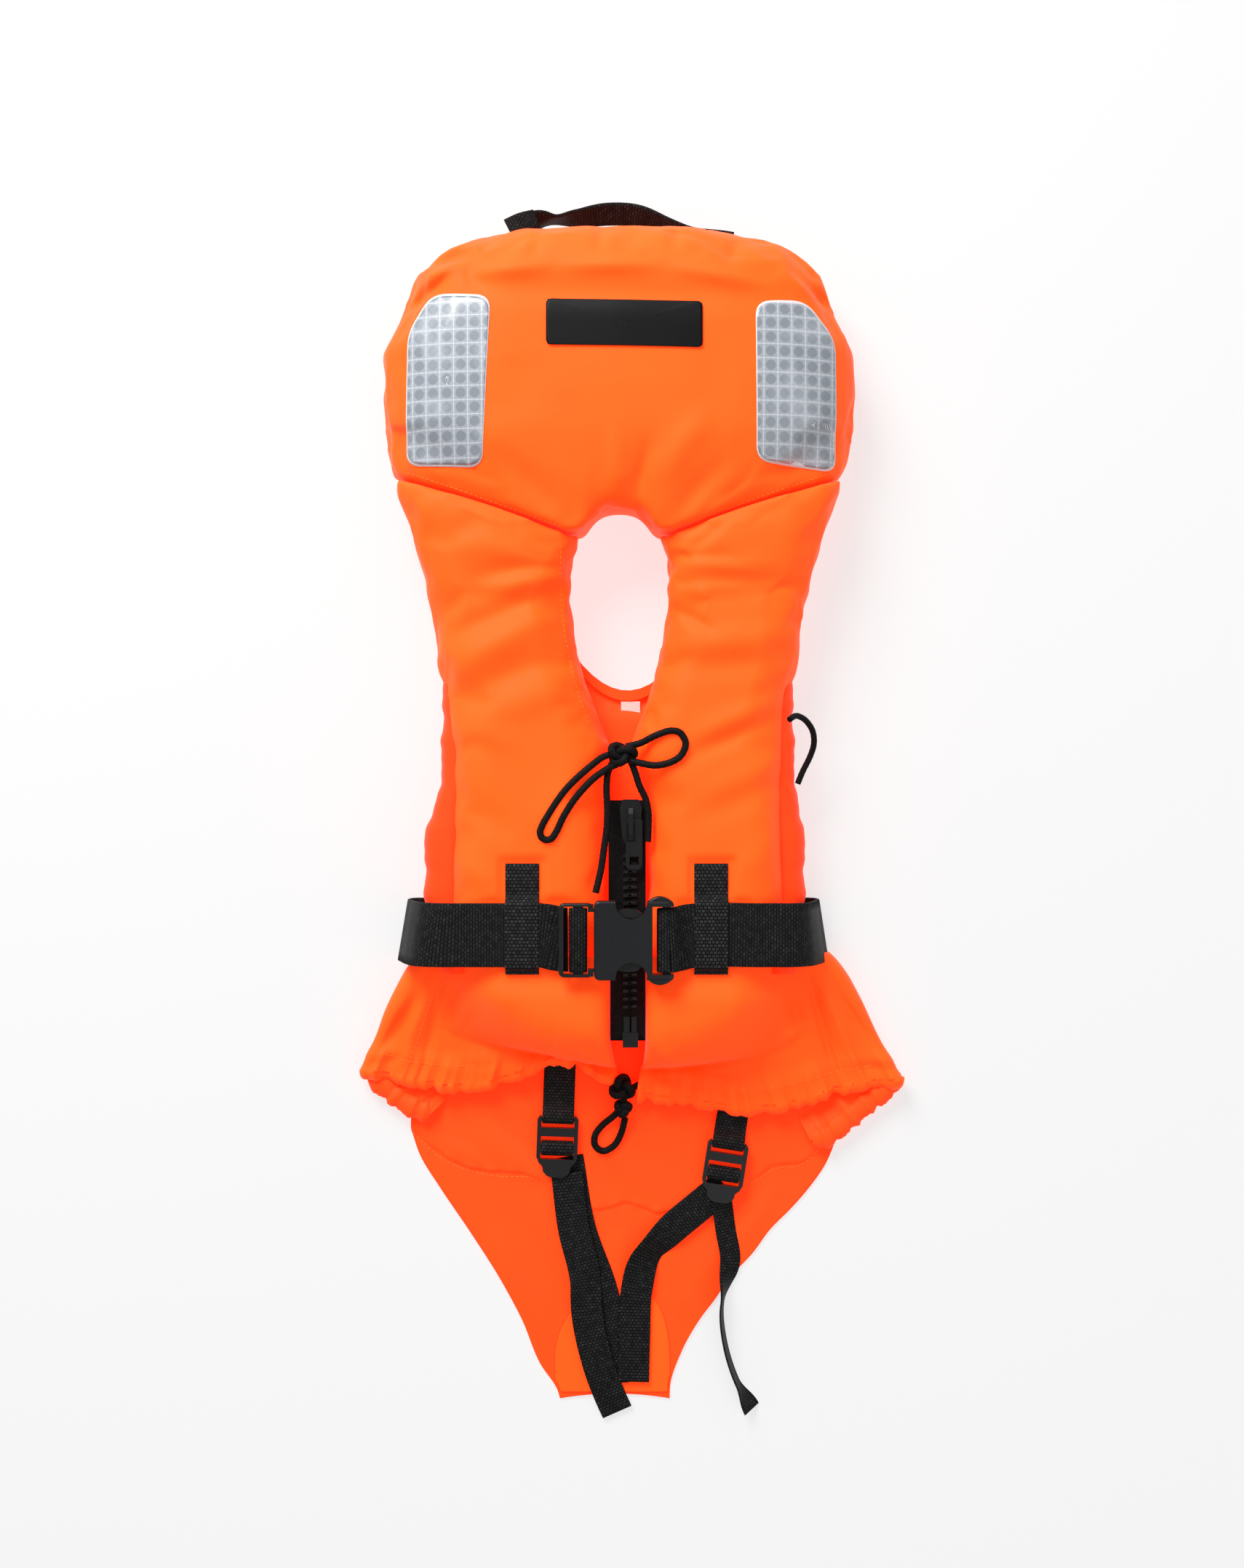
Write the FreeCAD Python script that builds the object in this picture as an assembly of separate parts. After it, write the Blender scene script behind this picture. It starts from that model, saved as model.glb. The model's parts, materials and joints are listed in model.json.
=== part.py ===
"""A small child's foam life jacket with collar, zip, belt, ties and crotch straps, lying flat on its back.

Units are millimetres. The jacket's front faces +Z, its collar points to +Y, and the floor is Z = 0.
Each sub-part is one function that returns a shape, and each shape is written to parts/NODE.step.
"""
import FreeCAD, Part
import os
from math import atan2, cos, degrees, hypot, pi, radians, sin, tan

V = FreeCAD.Vector

# ---- Driving dimensions: the pattern -------------------------------------------------------
BODY_CENTRE = -8.0        # X of the jacket's own centre line; the zip and the skirt sit to its right
CHEST_HALF = 105.5        # half width over the front panels
ARMHOLE_HALF = 113.5      # half width where the panels widen above the armholes
ARMHOLE_Y = 95.0          # height of the armholes
COLLAR_HALF = 147.5       # half width of the collar
COLLAR_WIDE_Y = 278.0     # where the collar is widest
COLLAR_TOP_Y = 368.5      # top edge of the collar
COLLAR_ROUNDNESS = 2.6    # exponent of the collar's rounded top corners
SEAM_Y = 194.0            # seam between collar and front panels
PANEL_END_Y = -140.0      # lower end of the front panels' foam

NECK_CENTRE = -7.0        # X of the middle of the neck opening
NECK_HALF = 28.0          # half width of the neck opening
NECK_PINCH_Y = 44.0       # where the tie draws the two edges together
NECK_WIDE_Y = 146.0       # where the opening reaches its full width
NECK_ROUND_Y = 162.0      # where its rounded top starts
NECK_TOP_Y = 208.0        # top of the opening
NECKLINE_Y = 81.0         # lowest point of the back panel's neckline
NECKLINE_X = -2.0
NECKLINE_CURVE = 0.02     # rise of the neckline per square millimetre

# ---- Driving dimensions: thicknesses and heights -------------------------------------------
FABRIC = 1.2              # wall of a cover with its turned seams
FOAM_GAP = 0.4            # room between a cover and its foam
GAP = 0.3                 # room between neighbouring pieces
BACK_Z = 2.0              # underside of the back panel
BACK_THICK = 10.0
TORSO_SPACE = 6.0         # height of the flattened space for the body
PANEL_THICK = 37.0        # front panels
COLLAR_THICK = 70.0
COLLAR_SEAM_Z = 60.0      # top of the collar and of the panels at their seam
WEBBING = 1.6             # 40 mm webbing
STRAP = 1.2               # 20 mm webbing
FLAP_THICK = 2.0

# ---- Driving dimensions: fittings ----------------------------------------------------------
BELT_WIDTH = 39.0
BELT_Y = -70.5
LOOP_WIDTH = 21.6
LOOP_TOP_Y = -27.0
LOOP_END_Y = -94.5
LOOP_LEFT_X = -66.2
LOOP_RIGHT_X = 48.9
STRAP_WIDTH = 20.0
ZIP_X = 0.0
ZIP_TOP_Y = 11.5
ZIP_END_Y = -141.0
CHAIN_WIDTH = 8.4
TOOTH_PITCH = 4.2
SLIDER_LENGTH = 27.0
SLIDER_WIDTH = 13.8
PULL_LENGTH = 30.0
PULL_WIDTH = 10.2
BUCKLE_LENGTH = 48.0      # of the female body
BUCKLE_WIDTH = 48.0
BUCKLE_THICK = 12.0
BUCKLE_X = -22.4          # mouth of the female body
BUCKLE_Y = -73.0
MALE_LENGTH = 21.0
MALE_WIDTH = 45.0
MALE_THICK = 6.4
LOCK_WIDTH = 26.0         # ladder locks for the 20 mm straps
LOCK_THICK = 4.0
PATCH_WIDTH = 50.0
PATCH_LENGTH = 100.0
PATCH_THICK = 0.5
BADGE_WIDTH = 94.0
BADGE_HEIGHT = 28.0
CORD = 3.8                # tie cord and hem cord
SIDE_CORD = 3.4

# ---- Values that follow from them ----------------------------------------------------------
PANEL_Z = BACK_Z + BACK_THICK + TORSO_SPACE
PANEL_TOP = PANEL_Z + PANEL_THICK
BELT_Z = PANEL_TOP + 0.4
LOOP_Z = BELT_Z + WEBBING + GAP
BUCKLE_Z = LOOP_Z + STRAP + 5.6
LEFT_EDGE_X = ZIP_X - 13.0
RIGHT_EDGE_X = ZIP_X + 8.5
TAPE_Z = PANEL_Z + 22.6
FLAP_TOP = FLAP_THICK


# ---- Geometry helpers ----------------------------------------------------------------------
def ease(t):
    """Smooth step from 0 to 1."""
    t = min(1.0, max(0.0, t))
    return t * t * (3 - 2 * t)


def ramp(y, stations):
    """Value at y on a smooth line through (y, value) stations given in rising order of y."""
    if y <= stations[0][0]:
        return stations[0][1]
    for (y0, v0), (y1, v1) in zip(stations, stations[1:]):
        if y <= y1:
            return v0 + (v1 - v0) * ease((y - y0) / (y1 - y0))
    return stations[-1][1]


def wire(points):
    return Part.makePolygon(points + [points[0]])


def slab(outline, z0, z1):
    """Prism of a closed outline of (x, y) points."""
    face = Part.Face(wire([V(x, y, z0) for x, y in outline]))
    return face.extrude(V(0, 0, z1 - z0))


def block(x0, x1, y0, y1, z0, z1):
    return Part.makeBox(x1 - x0, y1 - y0, z1 - z0, V(x0, y0, z0))


def loft(sections):
    return Part.makeLoft([wire(s) for s in sections], True, True)


def pillow(x0, x1, z0, z1, y, roundness=3.0, inset=0.0):
    """Section across Y: flat below, and above a superellipse that starts a third of the way up."""
    x0, x1, z0, z1 = x0 + inset, x1 - inset, z0 + inset, z1 - inset
    middle, half = (x0 + x1) / 2, (x1 - x0) / 2
    shoulder = z0 + (z1 - z0) / 3
    foot = min(4.0, half / 3)
    points = [V(x0 + foot, y, z0), V(x1 - foot, y, z0)]
    for k in range(11):
        a = pi * k / 10
        across = abs(cos(a)) ** (2 / roundness) * (1 if cos(a) >= 0 else -1)
        points.append(V(middle + half * across, y, shoulder + (z1 - shoulder) * abs(sin(a)) ** (2 / roundness)))
    return points


def ribbon(path, thick):
    """Closed outline of a strip of that thickness that follows a path of (u, v) points."""
    left, right = [], []
    for k, (u, v) in enumerate(path):
        before = path[max(k - 1, 0)]
        after = path[min(k + 1, len(path) - 1)]
        d0 = (u - before[0], v - before[1]) if k else (after[0] - u, after[1] - v)
        d1 = (after[0] - u, after[1] - v) if k < len(path) - 1 else d0
        n0, n1 = hypot(*d0), hypot(*d1)
        normal = (-(d0[1] / n0 + d1[1] / n1), d0[0] / n0 + d1[0] / n1)
        size = hypot(*normal)
        normal = (normal[0] / size, normal[1] / size)
        across = -d1[1] / n1 * normal[0] + d1[0] / n1 * normal[1]
        reach = thick / 2 / max(across, 0.4)
        left.append((u + normal[0] * reach, v + normal[1] * reach))
        right.append((u - normal[0] * reach, v - normal[1] * reach))
    return left + right[::-1]


def strip_xz(path, thick, y0, y1):
    """Webbing that follows a path of (x, z) points and is as wide as y0 to y1."""
    face = Part.Face(wire([V(x, y0, z) for x, z in ribbon(path, thick)]))
    return face.extrude(V(0, y1 - y0, 0))


def strip_yz(path, thick, x0, x1):
    face = Part.Face(wire([V(x0, y, z) for y, z in ribbon(path, thick)]))
    return face.extrude(V(x1 - x0, 0, 0))


def strip_xy(path, width, z0, z1):
    """Flat webbing that follows a path of (x, y) points."""
    return slab(ribbon(path, width), z0, z1)


def turned(shape, x, y, angle):
    """The shape turned about the vertical through (x, y), in degrees."""
    copy = shape.copy()
    copy.rotate(V(x, y, 0), V(0, 0, 1), angle)
    return copy


def tube(name, route, diameter):
    """Cord of straight runs joined by tangent arcs. Prints its length, volume ratio and arc radii."""
    points = [V(*p) for p in route]
    edges, radii, start = [], [], points[0]
    for a, b, c in zip(points, points[1:], points[2:]):
        d0, d1 = (b - a), (c - b)
        turn = d0.getAngle(d1)
        cut = 0.45 * min(d0.Length, d1.Length)
        radii.append(cut / tan(turn / 2))
        d0.normalize()
        d1.normalize()
        p0, p1 = b - d0 * cut, b + d1 * cut
        inward = d1 - d0
        inward.normalize()
        middle = b + inward * (radii[-1] / cos(turn / 2) - radii[-1])
        edges.append(Part.LineSegment(start, p0).toShape())
        edges.append(Part.Arc(p0, middle, p1).toShape())
        start = p1
    edges.append(Part.LineSegment(start, points[-1]).toShape())
    path = Part.Wire(edges)
    first = points[1] - points[0]
    ring = Part.Wire(Part.Circle(points[0], first, diameter / 2).toShape())
    solid = path.makePipeShell([ring], True, False)
    ratio = solid.Volume / (path.Length * pi * diameter ** 2 / 4)
    print(name, "length %.1f, volume ratio %.3f, radii" % (path.Length, ratio), ["%.1f" % r for r in radii])
    return solid


# ---- The pattern's outlines ----------------------------------------------------------------
def outer_half(y):
    """Half width of the collar and front panels at a height y."""
    if y <= ARMHOLE_Y:
        return ramp(y, [(ARMHOLE_Y - 25, CHEST_HALF), (ARMHOLE_Y, ARMHOLE_HALF)])
    if y <= COLLAR_WIDE_Y:
        return ramp(y, [(ARMHOLE_Y, ARMHOLE_HALF), (COLLAR_WIDE_Y, COLLAR_HALF)])
    rise = min(1.0, (y - COLLAR_WIDE_Y) / (COLLAR_TOP_Y - COLLAR_WIDE_Y))
    return COLLAR_HALF * (1 - rise ** COLLAR_ROUNDNESS) ** (1 / COLLAR_ROUNDNESS)


def neck_half(y):
    """Half width of the neck opening, from the pinch at the tie to its rounded top."""
    if y <= NECK_WIDE_Y:
        t = max(0.0, (y - NECK_PINCH_Y + 5) / (NECK_WIDE_Y - NECK_PINCH_Y + 5))
        return NECK_HALF * sin(pi / 2 * t ** 0.9)
    rise = min(1.0, max(0.0, (y - NECK_ROUND_Y) / (NECK_TOP_Y - NECK_ROUND_Y)))
    return NECK_HALF * (1 - rise ** 2.4) ** (1 / 2.4)


def inner_edge(y, side):
    """X of the left (-1) or right (+1) front panel's inner edge: beside the zip, then round the neck."""
    beside_zip = LEFT_EDGE_X if side < 0 else RIGHT_EDGE_X
    beside_neck = NECK_CENTRE + side * (neck_half(y) + 0.5)
    if y >= NECK_PINCH_Y:
        return beside_neck
    pinched = NECK_CENTRE + side * (neck_half(NECK_PINCH_Y) + 0.5)
    return ramp(y, [(ZIP_TOP_Y + 1, beside_zip), (NECK_PINCH_Y, pinched)])


def neckline(x):
    return NECKLINE_Y + NECKLINE_CURVE * (x - NECKLINE_X) ** 2


def panel_top(y):
    """Height of the front panels' crown."""
    return ramp(y, [(PANEL_END_Y, PANEL_TOP - 18), (PANEL_END_Y + 40, PANEL_TOP),
                    (SEAM_Y - 60, PANEL_TOP), (SEAM_Y, COLLAR_SEAM_Z)])


def collar_body(inset):
    """Collar as a closed form with a rounded top edge, without the neck opening."""
    sections = []
    last = COLLAR_TOP_Y - 2.2 * inset
    first = SEAM_Y + inset
    round_from = COLLAR_TOP_Y - 32
    heights = [first, SEAM_Y + 20, SEAM_Y + 45, COLLAR_WIDE_Y - 15, COLLAR_WIDE_Y + 12,
               round_from, COLLAR_TOP_Y - 20, COLLAR_TOP_Y - 10, COLLAR_TOP_Y - 4, last]
    for y in heights:
        crown = ramp(y, [(SEAM_Y, COLLAR_SEAM_Z), (SEAM_Y + 60, COLLAR_THICK)])
        t = min(0.995, max(0.0, (y - round_from) / (COLLAR_TOP_Y - round_from + 0.6)))
        slim = (1 - t ** 2.3) ** (1 / 2.3)
        middle = 0.45 * crown
        half = max(outer_half(min(y, COLLAR_TOP_Y - 1.2)), 12 * inset)
        low = middle * (1 - slim ** 0.8)
        sections.append(pillow(BODY_CENTRE - half, BODY_CENTRE + half, low,
                               middle + (crown - middle) * slim, y, 3.2, inset))
    return loft(sections)


def neck_cutter(grow):
    """Prism through the collar where the neck opening is, larger all round by a given amount."""
    steps = [SEAM_Y - 30, SEAM_Y - 15] + [NECK_TOP_Y - 14 + 14 * sin(pi / 2 * k / 7) for k in range(8)]
    side = [(neck_half(y) + grow, y + (grow if y > NECK_TOP_Y - 8 else 0)) for y in steps]
    outline = [(NECK_CENTRE + h, y) for h, y in side] + [(NECK_CENTRE - h, y) for h, y in side[::-1]]
    return slab(outline, -5, COLLAR_THICK + 10)


def panel_body(side, inset):
    """Front panel as a closed form, left (-1) or right (+1)."""
    sections = []
    heights = [PANEL_END_Y + inset, PANEL_END_Y + 12, -100, -40, ZIP_TOP_Y + 1, 28, NECK_PINCH_Y, 58, 76,
               ARMHOLE_Y, 115, 135, 160, 180, SEAM_Y - GAP - inset]
    for y in heights:
        inner = inner_edge(y, side)
        outer = BODY_CENTRE + side * outer_half(y)
        sections.append(pillow(min(inner, outer), max(inner, outer), PANEL_Z, panel_top(y), y, 3.2, inset))
    return loft(sections)


# ---- Covers and foam -----------------------------------------------------------------------
def collar_cover():
    outside = collar_body(0).cut(neck_cutter(0))
    return outside.cut(collar_body(FABRIC).cut(neck_cutter(FABRIC)))


def collar_foam():
    inset = FABRIC + FOAM_GAP
    return collar_body(inset).cut(neck_cutter(inset))


def front_cover(side):
    return panel_body(side, 0).cut(panel_body(side, FABRIC))


def front_foam(side):
    return panel_body(side, FABRIC + FOAM_GAP)


def back_outline(inset):
    """Back panel's outline: the neckline between the shoulders, and straight sides."""
    half = CHEST_HALF - inset
    low, high = -100 + inset, 124 - inset
    curve = [(x, neckline(x) - inset) for x in range(-44, 45, 8)]
    return ([(BODY_CENTRE - half, low), (BODY_CENTRE + half, low), (BODY_CENTRE + half, high - 6),
             (BODY_CENTRE + half - 6, high), (60 - inset, high)] + curve[::-1]
            + [(-64 + inset, high), (BODY_CENTRE - half + 6, high), (BODY_CENTRE - half, high - 6)])


def back_cover():
    top = BACK_Z + BACK_THICK
    inside = slab(back_outline(FABRIC), BACK_Z + FABRIC, top - FABRIC)
    return slab(back_outline(0), BACK_Z, top).cut(inside)


def back_foam():
    inset = FABRIC + FOAM_GAP
    return slab(back_outline(inset), BACK_Z + inset, BACK_Z + BACK_THICK - inset)


def neck_binding():
    """Band sewn along the back panel's neckline."""
    upper = [(x, neckline(x) - 0.4) for x in range(-36, 33, 6)]
    lower = [(x, y - 6.6) for x, y in upper]
    z = BACK_Z + BACK_THICK + GAP
    return slab(upper + lower[::-1], z, z + FABRIC)


def size_label():
    """Small tab sewn under the neck binding."""
    top, low = neckline(0) - 7.4, neckline(0) - 19
    outline = [(-6, top), (-6, low + 4), (-4.5, low + 1), (-1.5, low), (1.5, low), (4.5, low + 1), (6, low + 4), (6, top)]
    z = BACK_Z + BACK_THICK + GAP
    return slab(outline, z, z + 0.5)


def side_panel(side):
    """Fabric strip that joins the front panel to the back panel under the arm."""
    inner = BODY_CENTRE + side * (CHEST_HALF + 2)
    outer = BODY_CENTRE + side * (CHEST_HALF + 8)
    path = [(inner, 8), (outer, 13), (outer + side * 2, 22), (outer - side * 1, 32)]
    return strip_xz(path, FABRIC, -46, 84)


# ---- Skirt, hem and flap -------------------------------------------------------------------
SKIRT_TOP_Y = -93.0
HEM_Y = -166.0
SKIRT_TOP_HALF = 125.0
HEM_HALF = 173.5
HEM_THICK = 12.0
CASING = 24.0


def skirt(side):
    """Gathered fabric that flares out below the belt at one side."""
    inner = BODY_CENTRE + side * (CHEST_HALF + 1.5)
    sections = []
    for t in (0, 0.3, 0.6, 0.85, 1):
        y = SKIRT_TOP_Y + (HEM_Y - SKIRT_TOP_Y) * t
        outer = side * (SKIRT_TOP_HALF + (HEM_HALF - SKIRT_TOP_HALF) * t ** 0.8)
        top = 34 - 14 * t
        sections.append(pillow(min(inner, outer), max(inner, outer), 3, top, y, 2.2))
    return loft(sections)


def casing_sections(stations):
    """Rolled hem along X: each station gives x and the y of its lower edge."""
    sections = []
    for x, low in stations:
        ring = []
        for k in range(10):
            a = 2 * pi * k / 10
            ring.append(V(x, low + CASING / 2 + CASING / 2 * cos(a), 5 + HEM_THICK / 2 + HEM_THICK / 2 * sin(a)))
        sections.append(ring)
    return loft(sections)


def hem_casing_left():
    left = BODY_CENTRE - CHEST_HALF
    return casing_sections([(left, -175), (-84, -172), (-62, -166), (-38, -163.6), (-27, -166), (-15.5, -169)])


def hem_casing_right():
    right = BODY_CENTRE + CHEST_HALF
    return casing_sections([(5, -180), (22, -180), (38, -182), (56, -188), (76, -189), (right, -186)])


def hem_casing_back():
    """The two lower corners of the back hem, seen below the front hem."""
    left = [(-165, -168), (-158, -175), (-150, -183), (-139, -191), (-130, -186), (-130, -168)]
    right = [(122, -168), (122, -206), (128, -210), (135, -202), (147, -194), (161, -182), (170, -176), (170, -168)]
    z = FLAP_TOP + GAP
    return Part.makeCompound([slab(left, z, z + 6), slab(right, z, z + 6)])


FLAP_HALF = 134.0
FLAP_TOP_Y = -110.0
FLAP_END_Y = -369.0
FLAP_END_HALF = 35.5
FLAP_END_X = -10.5


def crotch_flap():
    """Flap that tapers in two curved sides from the hem to the end where the straps are sewn."""
    sides = []
    for k in range(13):
        t = k / 12
        y = -190 + (FLAP_END_Y + 190) * t
        half = FLAP_END_HALF + (FLAP_HALF - FLAP_END_HALF) * (1 - t) ** 1.15 * (1 + 0.25 * t)
        centre = -6 + (FLAP_END_X + 6) * t
        sides.append((centre, half, y))
    outline = [(BODY_CENTRE - 100, FLAP_TOP_Y)] + [(c - h, y) for c, h, y in sides]
    outline += [(c + h, y) for c, h, y in sides[::-1]] + [(BODY_CENTRE + 100, FLAP_TOP_Y)]
    return slab(outline, 0, FLAP_THICK)


def flap_reinforcement():
    low = FLAP_END_Y + 1
    outline = [(-45, low), (-36, -338), (-24, -330), (4, -310), (16, -312), (21, -340), (24, low)]
    return slab(outline, FLAP_TOP + 0.1, FLAP_TOP + 0.6)


# ---- Zip -----------------------------------------------------------------------------------
def zip_tape(side):
    inner = ZIP_X + side * 0.6
    outer = LEFT_EDGE_X + 0.3 if side < 0 else RIGHT_EDGE_X - 0.3
    return block(min(inner, outer), max(inner, outer), ZIP_END_Y + 4, ZIP_TOP_Y, TAPE_Z - 0.4, TAPE_Z + 0.4)


CHAIN_END_Y = ZIP_END_Y + 21


def zip_teeth(side):
    """Row of moulded teeth with a stop at the top, set half a pitch off its neighbour."""
    inner = ZIP_X + side * 0.6
    outer = ZIP_X + side * CHAIN_WIDTH / 2
    low, high = min(inner, outer), max(inner, outer)
    thick = 3.6
    teeth = []
    y = ZIP_TOP_Y - 30 - (TOOTH_PITCH / 2 if side > 0 else 0)
    while y > CHAIN_END_Y + 2:
        teeth.append(block(low, high, y - 0.9, y + 0.9, TAPE_Z - thick / 2, TAPE_Z + thick / 2))
        y -= TOOTH_PITCH
    holes = zip_tape(side)
    return Part.makeCompound([tooth.cut(holes) for tooth in teeth])


def zip_slider():
    """Two plates joined by a thin wedge, with turned lips and a bridge for the pull."""
    top = ZIP_TOP_Y + 0.5
    low = top - SLIDER_LENGTH
    half = SLIDER_WIDTH / 2
    plan = [(-half, top - 5), (-half + 2, top), (half - 2, top), (half, top - 5), (half - 1.6, low + 4),
            (half - 3, low), (-half + 3, low), (-half + 1.6, low + 4)]
    plan = [(ZIP_X + x, y) for x, y in plan]
    upper = slab(plan, TAPE_Z + 2.2, TAPE_Z + 4.4)
    lower = slab(plan, TAPE_Z - 4.2, TAPE_Z - 2.2)
    wedge = block(ZIP_X - 0.3, ZIP_X + 0.3, low + 3, top - 2, TAPE_Z - 2.4, TAPE_Z + 2.4)
    bridge = strip_yz([(top - 6, TAPE_Z + 4), (top - 6, TAPE_Z + 7.6), (top - 9, TAPE_Z + 9),
                       (low + 6, TAPE_Z + 9), (low + 3, TAPE_Z + 7.6), (low + 3, TAPE_Z + 4)],
                      1.8, ZIP_X - 1.4, ZIP_X + 1.4)
    return upper.fuse([lower, wedge, bridge]).removeSplitter()


PULL_Z = TAPE_Z + 6.2
PULL_Y = ZIP_TOP_Y - 12.5


def zip_pull():
    """Tab with an eye round the bridge and a slot near its free end, lying down the zip."""
    half = PULL_WIDTH / 2
    x = ZIP_X + 2.0
    low = PULL_Y - PULL_LENGTH
    plan = [(-half + 1, PULL_Y + 1.2), (half - 1, PULL_Y + 1.2), (half, PULL_Y), (half, low + 2), (half - 2, low),
            (-half + 2, low), (-half, low + 2), (-half, PULL_Y)]
    tab = slab([(x + u, v) for u, v in plan], PULL_Z - 1.1, PULL_Z + 1.1)
    eye = block(ZIP_X - 2.6, ZIP_X + 2.6, PULL_Y - 13, PULL_Y - 1.6, PULL_Z - 2, PULL_Z + 2)
    slot = block(x - 2.8, x + 2.8, low + 3, low + 8, PULL_Z - 2, PULL_Z + 2)
    return tab.cut(eye).cut(slot)


def zip_box():
    """Box at the lower end of the zip, with the two pins that seat in it."""
    box = block(ZIP_X - 5, ZIP_X + 4.6, ZIP_END_Y, ZIP_END_Y + 9.4, TAPE_Z - 2.6, TAPE_Z + 3)
    pins = [block(ZIP_X + x0, ZIP_X + x1, ZIP_END_Y + 9.4, ZIP_END_Y + 19, TAPE_Z - 1.9, TAPE_Z + 2.2)
            for x0, x1 in ((-4.4, -0.8), (0.4, 3.8))]
    tapes = zip_tape(-1).fuse(zip_tape(1))
    return box.fuse(pins).cut(tapes)


# ---- Belt ----------------------------------------------------------------------------------
BELT_LOW = BELT_Y - BELT_WIDTH / 2
BELT_HIGH = BELT_Y + BELT_WIDTH / 2
BELT_MID_Z = BELT_Z + WEBBING / 2


def belt_side_path(side):
    """Path of the belt from the top of a panel, round the side and down to the floor, as (x, z)."""
    edge = BODY_CENTRE + side * CHEST_HALF
    return [(edge - side * 6, BELT_MID_Z), (edge + side * 2, BELT_MID_Z - 2), (edge + side * 9, BELT_MID_Z - 9),
            (edge + side * 13, BELT_MID_Z - 20), (edge + side * 20, 12), (edge + side * 22, 6)]


def belt_left():
    path = [(LOOP_LEFT_X + LOOP_WIDTH / 2, BELT_MID_Z)] + belt_side_path(-1)
    return strip_xz(path, WEBBING, BELT_LOW, BELT_HIGH)


def belt_back():
    """Stretch of belt that lies on the floor under the back panel and rises at both ends."""
    left = BODY_CENTRE - CHEST_HALF - 22
    right = BODY_CENTRE + CHEST_HALF + 22
    z = WEBBING / 2
    path = [(left, 4.8), (left + 1.5, 1.8), (left + 5, z), (right - 5, z), (right - 1.5, 1.8), (right, 4.8)]
    return strip_xz(path, WEBBING, BELT_LOW, BELT_HIGH)


BAR_Z = BUCKLE_Z
FEMALE_BAR_X = BUCKLE_X + BUCKLE_LENGTH - 4.0
MALE_BAR_X = BUCKLE_X - 9.6


def web_ring(x, half_long):
    """Webbing wrapped round a buckle bar, as a flattened ring across X and Z."""
    outer, inner = half_long, half_long - WEBBING
    tall = 3.5
    flat = [(outer, 1.6), (outer - 1.6, tall), (-outer + 1.6, tall), (-outer, 1.6)]
    hole = [(inner, 1.0), (inner - 1.0, tall - WEBBING), (-inner + 1.0, tall - WEBBING), (-inner, 1.0)]

    def ring(points):
        full = points + [(u, -v) for u, v in points[::-1]]
        start = BUCKLE_Y - BELT_WIDTH / 2
        return Part.Face(wire([V(x + u, start, BAR_Z + v) for u, v in full])).extrude(V(0, BELT_WIDTH, 0))

    return ring(flat).cut(ring(hole))


def belt_right():
    """Right half of the belt with the loop sewn round the female buckle's bar."""
    ring = web_ring(FEMALE_BAR_X, 5.0)
    start = FEMALE_BAR_X + 4.3
    run = [(start, BAR_Z - 2.7), (start + 8, BELT_MID_Z + 0.6), (start + 12, BELT_MID_Z)] + belt_side_path(1)
    return ring.fuse(strip_xz(run, WEBBING, BELT_LOW, BELT_HIGH)).removeSplitter()


def belt_slack():
    """Free end of the belt between the left loop and the male buckle, which folds as the buckle comes away."""
    start = LOOP_LEFT_X + LOOP_WIDTH / 2 + 0.4
    path = [(start, BELT_MID_Z), (start + 6, BELT_MID_Z), (MALE_BAR_X - 9.4, BAR_Z - 5.0), (MALE_BAR_X - 6.5, BAR_Z - 3.5)]
    return strip_xz(path, WEBBING, BUCKLE_Y - BELT_WIDTH / 2, BUCKLE_Y + BELT_WIDTH / 2)


def male_web():
    return web_ring(MALE_BAR_X, 5.6)


def belt_loop(x):
    """Keeper sewn to the panel above and below the belt, which passes through it."""
    low_z = PANEL_TOP + 0.3 + STRAP / 2
    high_z = LOOP_Z + STRAP / 2
    path = [(LOOP_TOP_Y, low_z), (BELT_HIGH + 3.5, low_z), (BELT_HIGH + 1.2, high_z), (BELT_LOW - 1.2, high_z),
            (BELT_LOW - 2.6, low_z), (LOOP_END_Y, low_z)]
    return strip_yz(path, STRAP, x - LOOP_WIDTH / 2, x + LOOP_WIDTH / 2)


# ---- Side-release buckle -------------------------------------------------------------------
def rounded_slab(x0, x1, y0, y1, z0, z1, corner, edge):
    """Block with round upright corners and eased top and bottom edges."""
    shape = block(x0, x1, y0, y1, z0, z1)
    uprights = [e for e in shape.Edges if abs(e.tangentAt(e.FirstParameter).z) > 0.9]
    shape = shape.makeFillet(corner, uprights)
    flat = [e for e in shape.Edges if abs(e.CenterOfMass.z - z0) < 1e-6 or abs(e.CenterOfMass.z - z1) < 1e-6]
    return shape.makeFillet(edge, flat)


SOCKET_HALF = 19.6        # half width of the female's socket
SOCKET_DEPTH = 31.0
SOCKET_HEIGHT = 6.0
NOTCH_X = BUCKLE_X + 22.6
NOTCH_R = 9.5
EAR_RISE = 2.2            # how far the round shoulders beside the slot stand past the body
EAR_DEPTH = 1.8           # how far they reach below the buckle's middle, clear of the belt
EAR_EDGE = 1.2


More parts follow.
